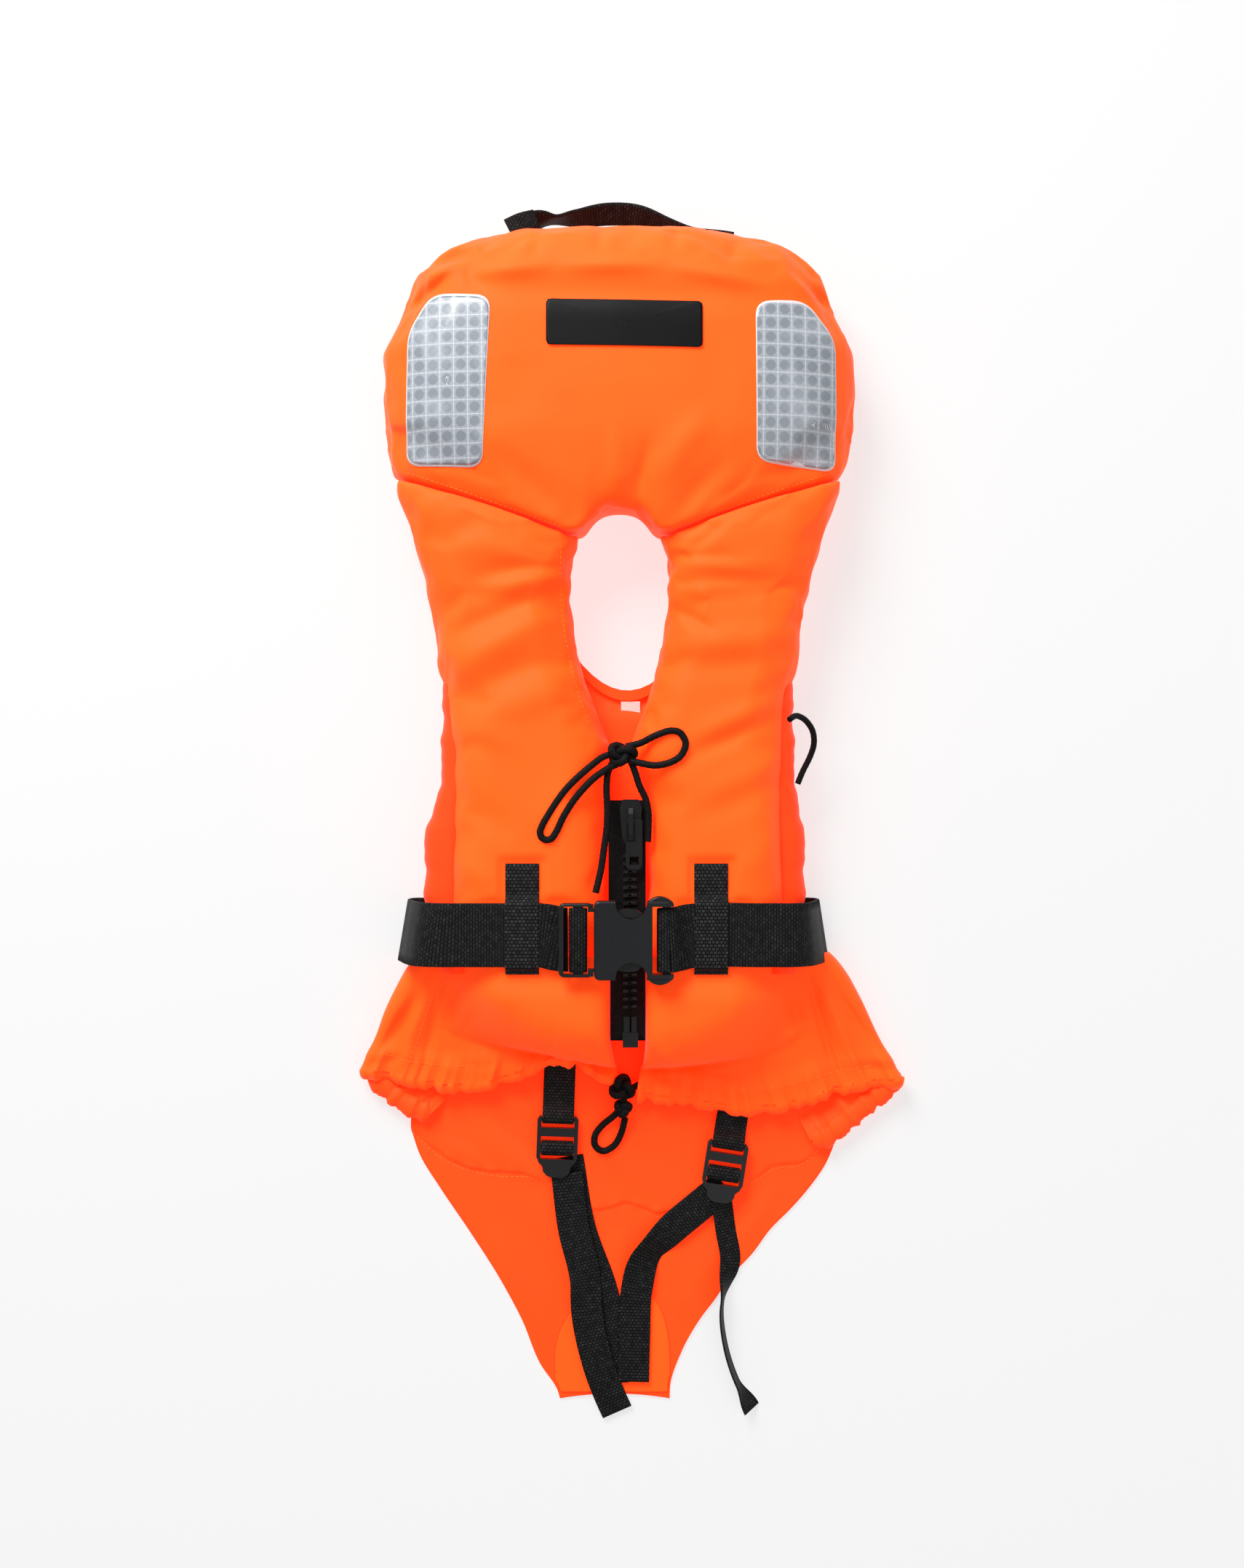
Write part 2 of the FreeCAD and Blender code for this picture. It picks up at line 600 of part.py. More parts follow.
def buckle_ear(side):
    """Round shoulder that leads from a notch out to the end of the webbing bar."""
    x1 = BUCKLE_X + BUCKLE_LENGTH
    half = BUCKLE_WIDTH / 2
    near = NOTCH_X + NOTCH_R
    plan = [(near - 1.0, half - 8), (near - 0.4, half - 2), (near + 4.5, half + EAR_RISE), (x1 - 5, half + EAR_RISE),
            (x1 + 0.4, half - 2.5), (x1 - 4, half - 7)]
    curve = Part.BSplineCurve()
    low, high = BUCKLE_Z - EAR_DEPTH, BUCKLE_Z + BUCKLE_THICK / 2 - 0.6
    curve.interpolate([V(x, BUCKLE_Y + side * y, low) for x, y in plan], PeriodicFlag=True)
    shape = Part.Face(Part.Wire(curve.toShape())).extrude(V(0, 0, high - low))
    rims = [e for e in shape.Edges if abs(e.tangentAt(e.FirstParameter).z) < 0.5]
    return shape.makeFillet(EAR_EDGE, rims)


def buckle_female():
    x0, x1 = BUCKLE_X, BUCKLE_X + BUCKLE_LENGTH
    half = BUCKLE_WIDTH / 2
    z0, z1 = BUCKLE_Z - BUCKLE_THICK / 2, BUCKLE_Z + BUCKLE_THICK / 2
    body = rounded_slab(x0, x1, BUCKLE_Y - half, BUCKLE_Y + half, z0, z1, 3.5, 1.6)
    socket = block(x0 - 1, x0 + SOCKET_DEPTH, BUCKLE_Y - SOCKET_HALF, BUCKLE_Y + SOCKET_HALF,
                   BUCKLE_Z - SOCKET_HEIGHT / 2, BUCKLE_Z + SOCKET_HEIGHT / 2)
    tools = [socket]
    for side in (-1, 1):
        centre = V(NOTCH_X, BUCKLE_Y + side * (half - 1.5), z0 - 1)
        tools.append(Part.makeCylinder(NOTCH_R, BUCKLE_THICK + 2, centre))
    slot_half = BELT_WIDTH / 2 + 1.0
    bar = FEMALE_BAR_X
    tools.append(block(bar - 8.6, x1 + 1, BUCKLE_Y - slot_half, BUCKLE_Y + slot_half, z0 - 1, z1 + 1))
    shape = body.fuse([buckle_ear(-1), buckle_ear(1)]).cut(tools)
    rail = block(bar - 2.6, bar + 2.6, BUCKLE_Y - slot_half - 1, BUCKLE_Y + slot_half + 1, BUCKLE_Z - 1.5, BUCKLE_Z + 1.5)
    return shape.fuse(rail).removeSplitter()


PRONG_ROOT_X = BUCKLE_X + 5.0
PRONG_LENGTH = 24.5
PRONG_OFFSET = 15.6


def buckle_male():
    """Frame with a bar for the webbing, a root plate inside the socket and a middle guide."""
    x1 = BUCKLE_X - 0.4
    x0 = x1 - MALE_LENGTH
    half = MALE_WIDTH / 2
    z0, z1 = BUCKLE_Z - MALE_THICK / 2, BUCKLE_Z + MALE_THICK / 2
    frame = rounded_slab(x0, x1, BUCKLE_Y - half, BUCKLE_Y + half, z0, z1, 3.5, 1.4)
    slot_half = BELT_WIDTH / 2 + 0.9
    hole = block(x0 + 3.0, x1 + 1, BUCKLE_Y - slot_half, BUCKLE_Y + slot_half, z0 - 1, z1 + 1)
    bar = block(MALE_BAR_X - 3.1, MALE_BAR_X + 3.1, BUCKLE_Y - slot_half - 0.5, BUCKLE_Y + slot_half + 0.5,
                BUCKLE_Z - 1.5, BUCKLE_Z + 1.5)
    inner, outer = SOCKET_HALF - 2.4, SOCKET_HALF - 0.4
    root = block(BUCKLE_X + 0.4, PRONG_ROOT_X - 0.3, BUCKLE_Y - outer, BUCKLE_Y + outer, BUCKLE_Z - 2.6, BUCKLE_Z + 2.6)
    arms = []
    for side in (-1, 1):
        for reach, far in ((outer, BUCKLE_X + 1), (half - 0.6, x1)):
            low, high = sorted((BUCKLE_Y + side * inner, BUCKLE_Y + side * reach))
            arms.append(block(MALE_BAR_X + 6.0, far, low, high, BUCKLE_Z - 2.6, BUCKLE_Z + 2.6))
    guide = block(PRONG_ROOT_X - 1, PRONG_ROOT_X + 16, BUCKLE_Y - 2.5, BUCKLE_Y + 2.5, BUCKLE_Z - 2.2, BUCKLE_Z + 2.2)
    shape = frame.cut(hole).fuse([bar, root, guide] + arms)
    return shape.removeSplitter()


def prong(side):
    """Springy side arm of the male half, with the pad that the finger squeezes."""
    plan = [(0, 12.6), (0, 18.6), (9, 17.8), (12, 18.9), (16, 19.2), (21, 18.6), (PRONG_LENGTH, 15.4),
            (PRONG_LENGTH - 1, 13.4), (19, 13.2), (12, 13.8)]
    outline = [(PRONG_ROOT_X + u, BUCKLE_Y + side * v) for u, v in plan]
    return slab(outline, BUCKLE_Z - 2.3, BUCKLE_Z + 2.3)


# ---- Collar trim ---------------------------------------------------------------------------
def collar_skin(low, high, outline):
    """Thin sheet that lies on the collar's upper face inside a plan outline."""
    sheet = collar_body(-high).cut(collar_body(-low))
    return sheet.common(slab(outline, COLLAR_THICK / 2, COLLAR_THICK + 5))


def reflective_patch(side):
    """Patch with cut corners towards the collar's outer shoulder."""
    x = BODY_CENTRE + side * 108.5
    w, h = PATCH_WIDTH / 2, PATCH_LENGTH / 2
    y = 264.0
    plan = [(-w + 4, -h), (w - 8, -h), (w - 2, -h + 6), (w, h - 28), (w - 18, h), (-w + 4, h), (-w, h - 4), (-w, -h + 4)]
    outline = [(x + side * u, y + v) for u, v in plan]
    return collar_skin(GAP, GAP + PATCH_THICK, outline)


def badge():
    x0, x1 = -51.0, -51.0 + BADGE_WIDTH
    y0, y1 = 284.5, 284.5 + BADGE_HEIGHT
    r = 2.5
    outline = [(x0 + r, y0), (x1 - r, y0), (x1, y0 + r), (x1, y1 - r), (x1 - r, y1), (x0 + r, y1), (x0, y1 - r), (x0, y0 + r)]
    return collar_skin(GAP, GAP + 1.0, outline)


HANDLE_Z = 24.0
HANDLE_BAND = 15.0
HANDLE_TIP_Y = 383.3


def carry_handle():
    """Webbing handle sewn at both ends behind the collar's top edge, bowed outwards on its edge."""
    def clear(x):
        rise = abs((x - BODY_CENTRE) / COLLAR_HALF) ** COLLAR_ROUNDNESS
        return COLLAR_WIDE_Y + (COLLAR_TOP_Y - COLLAR_WIDE_Y) * (1 - rise) ** (1 / COLLAR_ROUNDNESS) + 1.6
    path = [(-78, clear(-78)), (-64, clear(-64) + 0.6), (-50, HANDLE_TIP_Y - 9), (-33, HANDLE_TIP_Y - 4.5),
            (-14, HANDLE_TIP_Y - 1), (4, HANDLE_TIP_Y - 2.5), (22, HANDLE_TIP_Y - 7), (40, clear(40) + 3),
            (52, clear(52) + 0.6), (64, clear(64))]
    band = slab(ribbon(path, WEBBING), HANDLE_Z - HANDLE_BAND, HANDLE_Z)
    low, high, middle = HANDLE_Z - HANDLE_BAND - 1, HANDLE_Z + 1, HANDLE_Z - HANDLE_BAND / 2
    for end, full in ((-80, -56), (66, 44)):
        for edge in (low, high):
            rim = middle + (2.4 if edge > middle else -2.4)
            corner = [V(end, 350, edge), V(full, 350, edge), V(end, 350, rim)]
            band = band.cut(Part.Face(wire(corner)).extrude(V(0, 45, 0)))
    return band


# ---- Crotch straps -------------------------------------------------------------------------
LOCK_PIN_R = 1.5
LEFT_LOCK = (-46.0, -191.6, 6.4, -2.0)      # x, y, z of the top bar and its turn in degrees
RIGHT_LOCK = (62.0, -207.6, 8.2, -9.0)
LOCK_LENGTH = 37.0
LOCK_HOLE = STRAP_WIDTH + 1.0
LOCK_TONGUE = 18.0        # width of the tongue that lifts the lock
TAB_LENGTH = 40.0
TAB_Z = 3.5


def ladder_lock(x, y, z, angle):
    """Frame with a round top bar, two flat bars and a lifting tongue."""
    half, hole = LOCK_WIDTH / 2, LOCK_HOLE / 2
    z0, z1 = z - LOCK_THICK / 2, z + LOCK_THICK / 2
    low = y - LOCK_LENGTH
    wide = LOCK_TONGUE / 2
    plan = [(-half + 1.5, y + 2), (half - 1.5, y + 2), (half, y), (half, low + 13), (half - 1.5, low + 9.5),
            (wide, low + 7), (wide - 0.6, low + 3.6), (wide - 3, low + 1.2), (3.5, low + 0.2), (-3.5, low + 0.2),
            (-wide + 3, low + 1.2), (-wide + 0.6, low + 3.6), (-wide, low + 7), (-half + 1.5, low + 9.5),
            (-half, low + 13), (-half, y)]
    body = slab([(x + u, v) for u, v in plan], z0, z1)
    windows = [block(x - hole, x + hole, y - 5.4, y + 3, z0 - 1, z1 + 1),
               block(x - hole, x + hole, y - 15.4, y - 10.8, z0 - 1, z1 + 1),
               block(x - hole, x + hole, y - 25.4, y - 21.4, z0 - 1, z1 + 1)]
    pin = Part.makeCylinder(LOCK_PIN_R, LOCK_HOLE + 2, V(x - hole - 1, y, z), V(1, 0, 0))
    return turned(body.cut(windows).fuse(pin).removeSplitter(), x, y, angle)


def lock_web(x, y, z, angle):
    """Strap where it passes up through the lock and over its lower bar."""
    high = z + LOCK_THICK / 2 + 0.2 + STRAP / 2
    low = z - LOCK_THICK / 2 + 0.4
    path = [(y - 14.4, low), (y - 14.4, high - 0.4), (y - 15.2, high), (y - 21.6, high), (y - 22.4, high - 0.4),
            (y - 22.4, low)]
    return turned(strip_yz(path, STRAP, x - STRAP_WIDTH / 2, x + STRAP_WIDTH / 2), x, y, angle)


def strap_tab(x, y, z, angle):
    """Short strap that comes out from under the hem and is looped round the lock's top bar."""
    outer, inner = LOCK_PIN_R + 0.2 + STRAP, LOCK_PIN_R + 0.2
    origin, along = V(x - STRAP_WIDTH / 2, y, z), V(1, 0, 0)
    ring = Part.makeCylinder(outer, STRAP_WIDTH, origin, along)
    flat = TAB_Z + STRAP / 2
    run = strip_yz([(y + TAB_LENGTH, flat), (y + 10, flat), (y, z - outer + STRAP / 2)], STRAP,
                   x - STRAP_WIDTH / 2, x + STRAP_WIDTH / 2)
    hollow = Part.makeCylinder(inner, STRAP_WIDTH + 8, V(x - STRAP_WIDTH / 2 - 4, y, z), along)
    return turned(ring.fuse(run).cut(hollow).removeSplitter(), x, y, angle)


STRAP_LOW = FLAP_TOP + 0.9            # the lowest layer of strap on the flap


def crotch_strap_left():
    path = [(-44, -222), (-32, -262), (-18, -302), (-13, -330), (-13, -360)]
    return strip_xy(path, STRAP_WIDTH, STRAP_LOW, STRAP_LOW + STRAP)


def crotch_strap_right():
    """Runs from the right lock down to the left, turns over itself and down to the end of the flap."""
    z0 = STRAP_LOW + STRAP + GAP
    path = [(61, -234), (44, -248), (22, -268), (7, -284), (3, -302), (2, -330), (2, -359)]
    return strip_xy(path, STRAP_WIDTH, z0, z0 + STRAP)


def strap_tail_left():
    z0 = STRAP_LOW + 2 * (STRAP + GAP)
    path = [(-41, -232), (-35, -262), (-28, -292), (-26, -315), (-20, -345), (-11, -372), (-8, -379.5)]
    return strip_xy(path, STRAP_WIDTH, z0, z0 + STRAP)


def strap_tail_right():
    """Loose tail that lies on the flap and turns on its edge beyond it."""
    z0 = FLAP_TOP + GAP
    path = [(60, -256), (62, -275), (63, -290), (58, -312), (61, -335), (68, -358), (77, -375)]
    return strip_xy(path, 8.0, z0, z0 + 6.0)


# ---- Cords ---------------------------------------------------------------------------------
NECK_KNOT = (-5.8, 39.5, 53.0)
HEM_KNOT = (-5.2, -172.5, 11.5)
HEM_KNOT_SMALL = (-5.0, -186.5, 9.0)

NECK_LOOP_RIGHT = [(-3, 44.5, 53), (6, 46.2, 54), (14, 50.8, 57), (23.5, 54.2, 58), (30, 53.4, 58.3), (34.2, 46.2, 58.3),
                   (30.6, 38.2, 58.3), (24, 34.4, 58.2), (15, 32.4, 57.4), (5, 34.4, 54.5), (-2, 36.2, 53)]
NECK_BIGHT_LEFT = [(-9, 40.5, 53), (-17, 38.4, 54.5), (-24, 32.8, 56.6), (-31.8, 26.2, 58), (-40, 18, 58.4), (-46.6, 8.8, 58.5),
                   (-53.4, -2.4, 58.5), (-55.5, -7.6, 58.5), (-54.6, -11, 58.5), (-51.5, -12.8, 58.5), (-48.1, -11.9, 58.5),
                   (-44.9, -6.9, 58.5), (-41.4, 1.2, 58.5), (-35.6, 10.6, 58.3), (-29.6, 18, 57.8), (-22.6, 25.2, 56.4),
                   (-14, 31.2, 54.2), (-8.5, 33.4, 53)]
NECK_END_LEFT = [(-10.5, 36, 51.5), (-14.2, 29, 52), (-15, 18, 52.2), (-14.2, 6, 52.4), (-14.6, -6, 52.4), (-16.4, -18, 52.6),
                 (-18, -30, 53.6), (-20, -38.4, 55), (-21.5, -44.8, 56)]
NECK_END_RIGHT = [(-0.5, 36.5, 51), (2.6, 29, 51.2), (5, 20.5, 51.3), (9.3, 12.4, 50.4), (10.9, 4, 49.4), (10.8, -4.6, 49), (10.4, -14, 48.8)]
HEM_LOOP = [(19.5, -163.6, 11.4), (13.2, -166, 11.6), (5.4, -168.4, 12), (-2.8, -173.6, 12), (-5.6, -183.4, 9.8), (-10.4, -189.4, 7.2),
            (-17.6, -195, 5.6), (-22.8, -201.4, 5.2), (-23.4, -208.6, 5.2), (-17.6, -213, 5.2), (-9.8, -208.8, 5.2),
            (-5.6, -200.4, 5.8), (-3.4, -190.6, 8)]
SIDE_LOOP = [(97, 61, 52), (101.5, 64, 46), (108, 61.4, 40), (113.2, 54.6, 36), (114.2, 46, 33), (111.4, 37.6, 31), (107.4, 30, 30),
             (104, 21.6, 30)]


def knot(x, y, z, r):
    return Part.makeSphere(r, V(x, y, z))


# ---- All the nodes -------------------------------------------------------------------------
def build():
    nodes = {
        "collar_cover": collar_cover(),
        "collar_foam": collar_foam(),
        "front_cover_left": front_cover(-1),
        "front_cover_right": front_cover(1),
        "front_foam_left": front_foam(-1),
        "front_foam_right": front_foam(1),
        "back_cover": back_cover(),
        "back_foam": back_foam(),
        "neck_binding": neck_binding(),
        "size_label": size_label(),
        "side_panel_left": side_panel(-1),
        "side_panel_right": side_panel(1),
        "skirt_left": skirt(-1),
        "skirt_right": skirt(1),
        "hem_casing_left": hem_casing_left(),
        "hem_casing_right": hem_casing_right(),
        "hem_casing_back": hem_casing_back(),
        "crotch_flap": crotch_flap(),
        "flap_reinforcement": flap_reinforcement(),
        "zip_tape_left": zip_tape(-1),
        "zip_tape_right": zip_tape(1),
        "zip_teeth_left": zip_teeth(-1),
        "zip_teeth_right": zip_teeth(1),
        "zip_slider": zip_slider(),
        "zip_pull": zip_pull(),
        "zip_box": zip_box(),
        "belt_left": belt_left(),
        "belt_right": belt_right(),
        "belt_back": belt_back(),
        "belt_slack": belt_slack(),
        "belt_loop_left": belt_loop(LOOP_LEFT_X),
        "belt_loop_right": belt_loop(LOOP_RIGHT_X),
        "buckle_female": buckle_female(),
        "buckle_male": buckle_male(),
        "buckle_web": male_web(),
        "prong_upper": prong(1),
        "prong_lower": prong(-1),
        "carry_handle": carry_handle(),
        "reflective_patch_left": reflective_patch(-1),
        "reflective_patch_right": reflective_patch(1),
        "collar_badge": badge(),
        "strap_tab_left": strap_tab(*LEFT_LOCK),
        "strap_tab_right": strap_tab(*RIGHT_LOCK),
        "ladder_lock_left": ladder_lock(*LEFT_LOCK),
        "ladder_lock_right": ladder_lock(*RIGHT_LOCK),
        "lock_web_left": lock_web(*LEFT_LOCK),
        "lock_web_right": lock_web(*RIGHT_LOCK),
        "crotch_strap_left": crotch_strap_left(),
        "crotch_strap_right": crotch_strap_right(),
        "strap_tail_left": strap_tail_left(),
        "strap_tail_right": strap_tail_right(),
        "neck_knot": knot(*NECK_KNOT, 7.5),
        "neck_loop_right": tube("neck_loop_right", NECK_LOOP_RIGHT, CORD),
        "neck_bight_left": tube("neck_bight_left", NECK_BIGHT_LEFT, CORD),
        "neck_end_left": tube("neck_end_left", NECK_END_LEFT, CORD),
        "neck_end_right": tube("neck_end_right", NECK_END_RIGHT, CORD),
        "hem_knots": Part.makeCompound([knot(*HEM_KNOT, 7.4), knot(*HEM_KNOT_SMALL, 5.4)]),
        "hem_cord": tube("hem_cord", HEM_LOOP, CORD),
        "side_cord": tube("side_cord", SIDE_LOOP, SIDE_CORD),
    }
    return nodes


def main():
    os.makedirs("parts", exist_ok=True)
    for name, shape in build().items():
        bad = not shape.isValid() or not shape.Solids or any(s.Volume <= 0 for s in shape.Solids)
        box = shape.BoundBox
        print("%-22s %s solids %d  x %.1f..%.1f  y %.1f..%.1f  z %.1f..%.1f" % (
            name, "BAD" if bad else "ok", len(shape.Solids), box.XMin, box.XMax, box.YMin, box.YMax, box.ZMin, box.ZMax))
        shape.exportStep("parts/" + name + ".step")


main()
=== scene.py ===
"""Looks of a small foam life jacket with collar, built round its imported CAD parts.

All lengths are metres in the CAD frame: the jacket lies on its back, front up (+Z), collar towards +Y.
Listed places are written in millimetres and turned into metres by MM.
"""

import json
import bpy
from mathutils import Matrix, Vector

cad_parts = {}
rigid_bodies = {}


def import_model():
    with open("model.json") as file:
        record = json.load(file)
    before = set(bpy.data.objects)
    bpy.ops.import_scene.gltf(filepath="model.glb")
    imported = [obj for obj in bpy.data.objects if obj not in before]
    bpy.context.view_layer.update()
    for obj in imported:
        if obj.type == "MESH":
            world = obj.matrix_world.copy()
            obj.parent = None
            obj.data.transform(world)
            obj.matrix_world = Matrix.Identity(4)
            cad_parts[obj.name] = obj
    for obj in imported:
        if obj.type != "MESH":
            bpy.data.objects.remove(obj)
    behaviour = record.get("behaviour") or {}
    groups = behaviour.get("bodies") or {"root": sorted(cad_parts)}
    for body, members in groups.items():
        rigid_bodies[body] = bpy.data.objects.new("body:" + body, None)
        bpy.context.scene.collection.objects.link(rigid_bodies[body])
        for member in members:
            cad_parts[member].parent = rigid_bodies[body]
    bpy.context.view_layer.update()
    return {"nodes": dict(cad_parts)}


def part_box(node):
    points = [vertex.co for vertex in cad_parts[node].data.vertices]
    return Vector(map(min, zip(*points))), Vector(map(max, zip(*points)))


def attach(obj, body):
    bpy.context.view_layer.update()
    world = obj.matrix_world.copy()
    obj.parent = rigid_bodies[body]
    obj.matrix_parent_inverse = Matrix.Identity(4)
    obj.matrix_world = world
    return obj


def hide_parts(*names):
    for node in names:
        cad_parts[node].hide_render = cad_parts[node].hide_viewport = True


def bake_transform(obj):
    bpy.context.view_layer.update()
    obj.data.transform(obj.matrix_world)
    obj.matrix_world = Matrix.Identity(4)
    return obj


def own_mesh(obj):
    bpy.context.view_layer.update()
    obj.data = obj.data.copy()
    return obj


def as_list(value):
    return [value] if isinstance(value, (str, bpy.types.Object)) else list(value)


bl_info = {
    "name": "Foam life jacket",
    "version": (1, 0, 0),
    "blender": (4, 5, 0),
    "location": "3D View > Sidebar > Jacket",
    "description": "Builds the fabric, webbing, cords and finishes of a foam life jacket round its CAD parts",
    "category": "Object",
}

from math import ceil, pi, tan

import bmesh
import bpy
import numpy as np
from bpy.props import FloatProperty, FloatVectorProperty, IntProperty, PointerProperty
from mathutils import Vector
from mathutils.bvhtree import BVHTree

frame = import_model()
MM = 0.001


def middle(node):
    """Middle of a CAD node's box, in metres."""
    low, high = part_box(node)
    return (low + high) / 2


PANEL_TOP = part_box("front_cover_left")[1].z - 5 * MM       # flat top of the front panels under the belt
SEAM_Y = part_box("collar_cover")[0].y                       # lower end of the collar
BELT_LOW, BELT_HIGH = (corner.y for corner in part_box("belt_back"))
BELT_MID = (BELT_LOW + BELT_HIGH) / 2
CENTRE_X = middle("back_cover").x
COLLAR_BEND = ("jacket", "collar", (0, SEAM_Y - 70 * MM, 0), (0, SEAM_Y + 8 * MM, 0))   # fabric between collar and front panels; the pieces given it are baked in place and nothing folds them
WIDE_WEB = 1.6 * MM          # thickness of the belt's webbing
NARROW_WEB = 1.2 * MM        # thickness and width of the crotch straps' webbing
NARROW_WIDTH = 20 * MM
BELT_TOP = 57.9              # height of the belt's middle layer on the panels, in mm


# ---- Formulas ------------------------------------------------------------------------------
def ease(t):
    """Smooth step from 0 to 1."""
    t = np.clip(t, 0.0, 1.0)
    return t * t * (3 - 2 * t)


def shoulder(t, power=2.4):
    """0 at 0 and 1 from 1 on, rising like a rounded edge."""
    t = np.clip(t, 0.0, 1.0)
    return (1 - (1 - t) ** power) ** (1 / power)


def through(x, stations):
    """Smooth curve through (x, value) stations, with the end values kept beyond them."""
    xs, vs = np.array(stations, float).T
    slopes = np.gradient(vs, xs)
    k = np.clip(np.searchsorted(xs, x) - 1, 0, len(xs) - 2)
    w = xs[k + 1] - xs[k]
    t = np.clip((x - xs[k]) / w, 0, 1)
    start = (1 + 2 * t) * (1 - t) ** 2 * vs[k] + t * (1 - t) ** 2 * w * slopes[k]
    return start + t * t * (3 - 2 * t) * vs[k + 1] - t * t * (1 - t) * w * slopes[k + 1]


def folds(points, table):
    """Height of soft folds: each row is a line (x0, y0)-(x1, y1) in mm with a width and a height in mm.
    A fold is a ridge, or a valley if its height is negative, and fades towards its ends."""
    out = np.zeros(len(points))
    xy = points[:, :2] / MM
    for x0, y0, x1, y1, width, height in table:
        a, d = np.array([x0, y0]), np.array([x1 - x0, y1 - y0])
        t = np.clip((xy - a) @ d / (d @ d), 0, 1)
        gap = np.linalg.norm(xy - a - t[:, None] * d, axis=1)
        out += height * np.exp(-(gap / width) ** 2) * (0.1 + 0.9 * np.sin(pi * t)) * MM
    return out


# ---- Meshes --------------------------------------------------------------------------------
def link(name, mesh):
    """Puts a mesh into the scene as a new piece."""
    piece = bpy.data.objects.new(name, mesh)
    bpy.context.scene.collection.objects.link(piece)
    return piece


def grid_piece(name, points, close_u=False, close_v=False, cap=False, uv=None, face_up=False):
    """Piece from an array of points [u, v]. A cap closes the two ends of a grid that is closed along v.
    uv has one row or column more than points in a closed direction. face_up turns a sheet's faces to +Z."""
    nu, nv = points.shape[:2]
    a, b = np.meshgrid(np.arange(nu if close_u else nu - 1), np.arange(nv if close_v else nv - 1),
                       indexing="ij")
    a1, b1 = (a + 1) % nu, (b + 1) % nv
    faces = np.stack([a * nv + b, a1 * nv + b, a1 * nv + b1, a * nv + b1], -1).reshape(-1, 4).tolist()
    ends = [list(range(nv)), list(range((nu - 1) * nv, nu * nv))] if cap else []
    mesh = bpy.data.meshes.new(name)
    mesh.from_pydata(points.reshape(-1, 3).tolist(), [], faces + ends)
    if uv is not None:
        corners = np.stack([uv[a, b], uv[a + 1, b], uv[a + 1, b + 1], uv[a, b + 1]], -2).reshape(-1, 2)
        tail = np.concatenate([uv[0, :nv], uv[-1, :nv]]) if cap else np.zeros((0, 2))
        layer = mesh.uv_layers.new(name="UVMap")
        layer.data.foreach_set("uv", np.concatenate([corners, tail]).astype(np.float32).ravel())
    if face_up:
        normals = np.zeros(len(mesh.polygons) * 3, np.float32)
        mesh.polygons.foreach_get("normal", normals)
        if normals.reshape(-1, 3)[:, 2].sum() < 0:
            mesh.flip_normals()
    else:
        outward(mesh)
    mesh.shade_smooth()
    return link(name, mesh)


def outward(mesh):
    """Turns all faces of a closed mesh outwards."""
    edit = bmesh.new()
    edit.from_mesh(mesh)
    bmesh.ops.recalc_face_normals(edit, faces=edit.faces[:])
    edit.to_mesh(mesh)
    edit.free()


def coordinates(mesh):
    """Array of a mesh's points, in metres."""
    flat = np.zeros(len(mesh.vertices) * 3, np.float32)
    mesh.vertices.foreach_get("co", flat)
    return flat.reshape(-1, 3).astype(float)


def set_coordinates(mesh, points):
    mesh.vertices.foreach_set("co", points.astype(np.float32).ravel())
    mesh.update()


def vertex_normals(mesh):
    flat = np.zeros(len(mesh.vertices) * 3, np.float32)
    mesh.vertex_normals.foreach_get("vector", flat)
    return flat.reshape(-1, 3).astype(float)


def baked(piece):
    """Replaces a piece's mesh by the result of its modifiers."""
    graph = bpy.context.evaluated_depsgraph_get()
    mesh = bpy.data.meshes.new_from_object(piece.evaluated_get(graph))
    piece.modifiers.clear()
    piece.data = mesh
    return mesh


def subdivided(piece, levels=1):
    smooth = piece.modifiers.new("Smooth", "SUBSURF")
    smooth.levels = smooth.render_levels = levels
    baked(piece)
    piece.data.shade_smooth()


def thickened(piece, thickness, offset=-1.0):
    solid = piece.modifiers.new("Thickness", "SOLIDIFY")
    solid.thickness, solid.offset = thickness, offset
    return piece


def dress(piece, material, body, slot, *nodes):
    """Gives a piece its material and the body it rides on, and hides the CAD nodes it stands for; its slot is
    not used.
    """
    piece.data.materials.clear()
    piece.data.materials.append(bpy.data.materials[material])
    if nodes:
        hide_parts(*nodes)
    if body:
        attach(piece, body)
    return piece


def carried(path, profile, side=None, roll=None):
    """Points of a profile [(across, up)] carried along a path. side is the across direction where it is
    fixed, and otherwise it lies level, square to the path; roll turns the profile about the path."""
    tangent = np.gradient(path, axis=0)
    tangent /= np.linalg.norm(tangent, axis=1)[:, None]
    if side is None:
        across = np.cross(tangent, [0.0, 0.0, 1.0])
    else:
        across = np.broadcast_to(np.array(side, float), tangent.shape)
        across = across - (across * tangent).sum(1)[:, None] * tangent
    across = across / np.linalg.norm(across, axis=1)[:, None]
    up = np.cross(across, tangent)
    if roll is not None:
        c, s = np.cos(roll)[:, None], np.sin(roll)[:, None]
        across, up = across * c + up * s, up * c - across * s
    profile = np.broadcast_to(profile, (len(path),) + profile.shape[-2:])
    return path[:, None] + profile[..., :1] * across[:, None] + profile[..., 1:] * up[:, None]


def smooth_path(points, step):
    """Dense points on a smooth curve through given points in mm, about step metres apart."""
    p = np.array(points, float) * MM
    along = np.concatenate([[0], np.cumsum(np.linalg.norm(np.diff(p, axis=0), axis=1))])
    s = np.linspace(0, along[-1], max(8, int(along[-1] / step)))
    return np.stack([through(s, np.stack([along, p[:, k]], 1)) for k in range(3)], 1)


def lengths(path):
    """Distance along a path at each of its points."""
    return np.concatenate([[0], np.cumsum(np.linalg.norm(np.diff(path, axis=0), axis=1))])


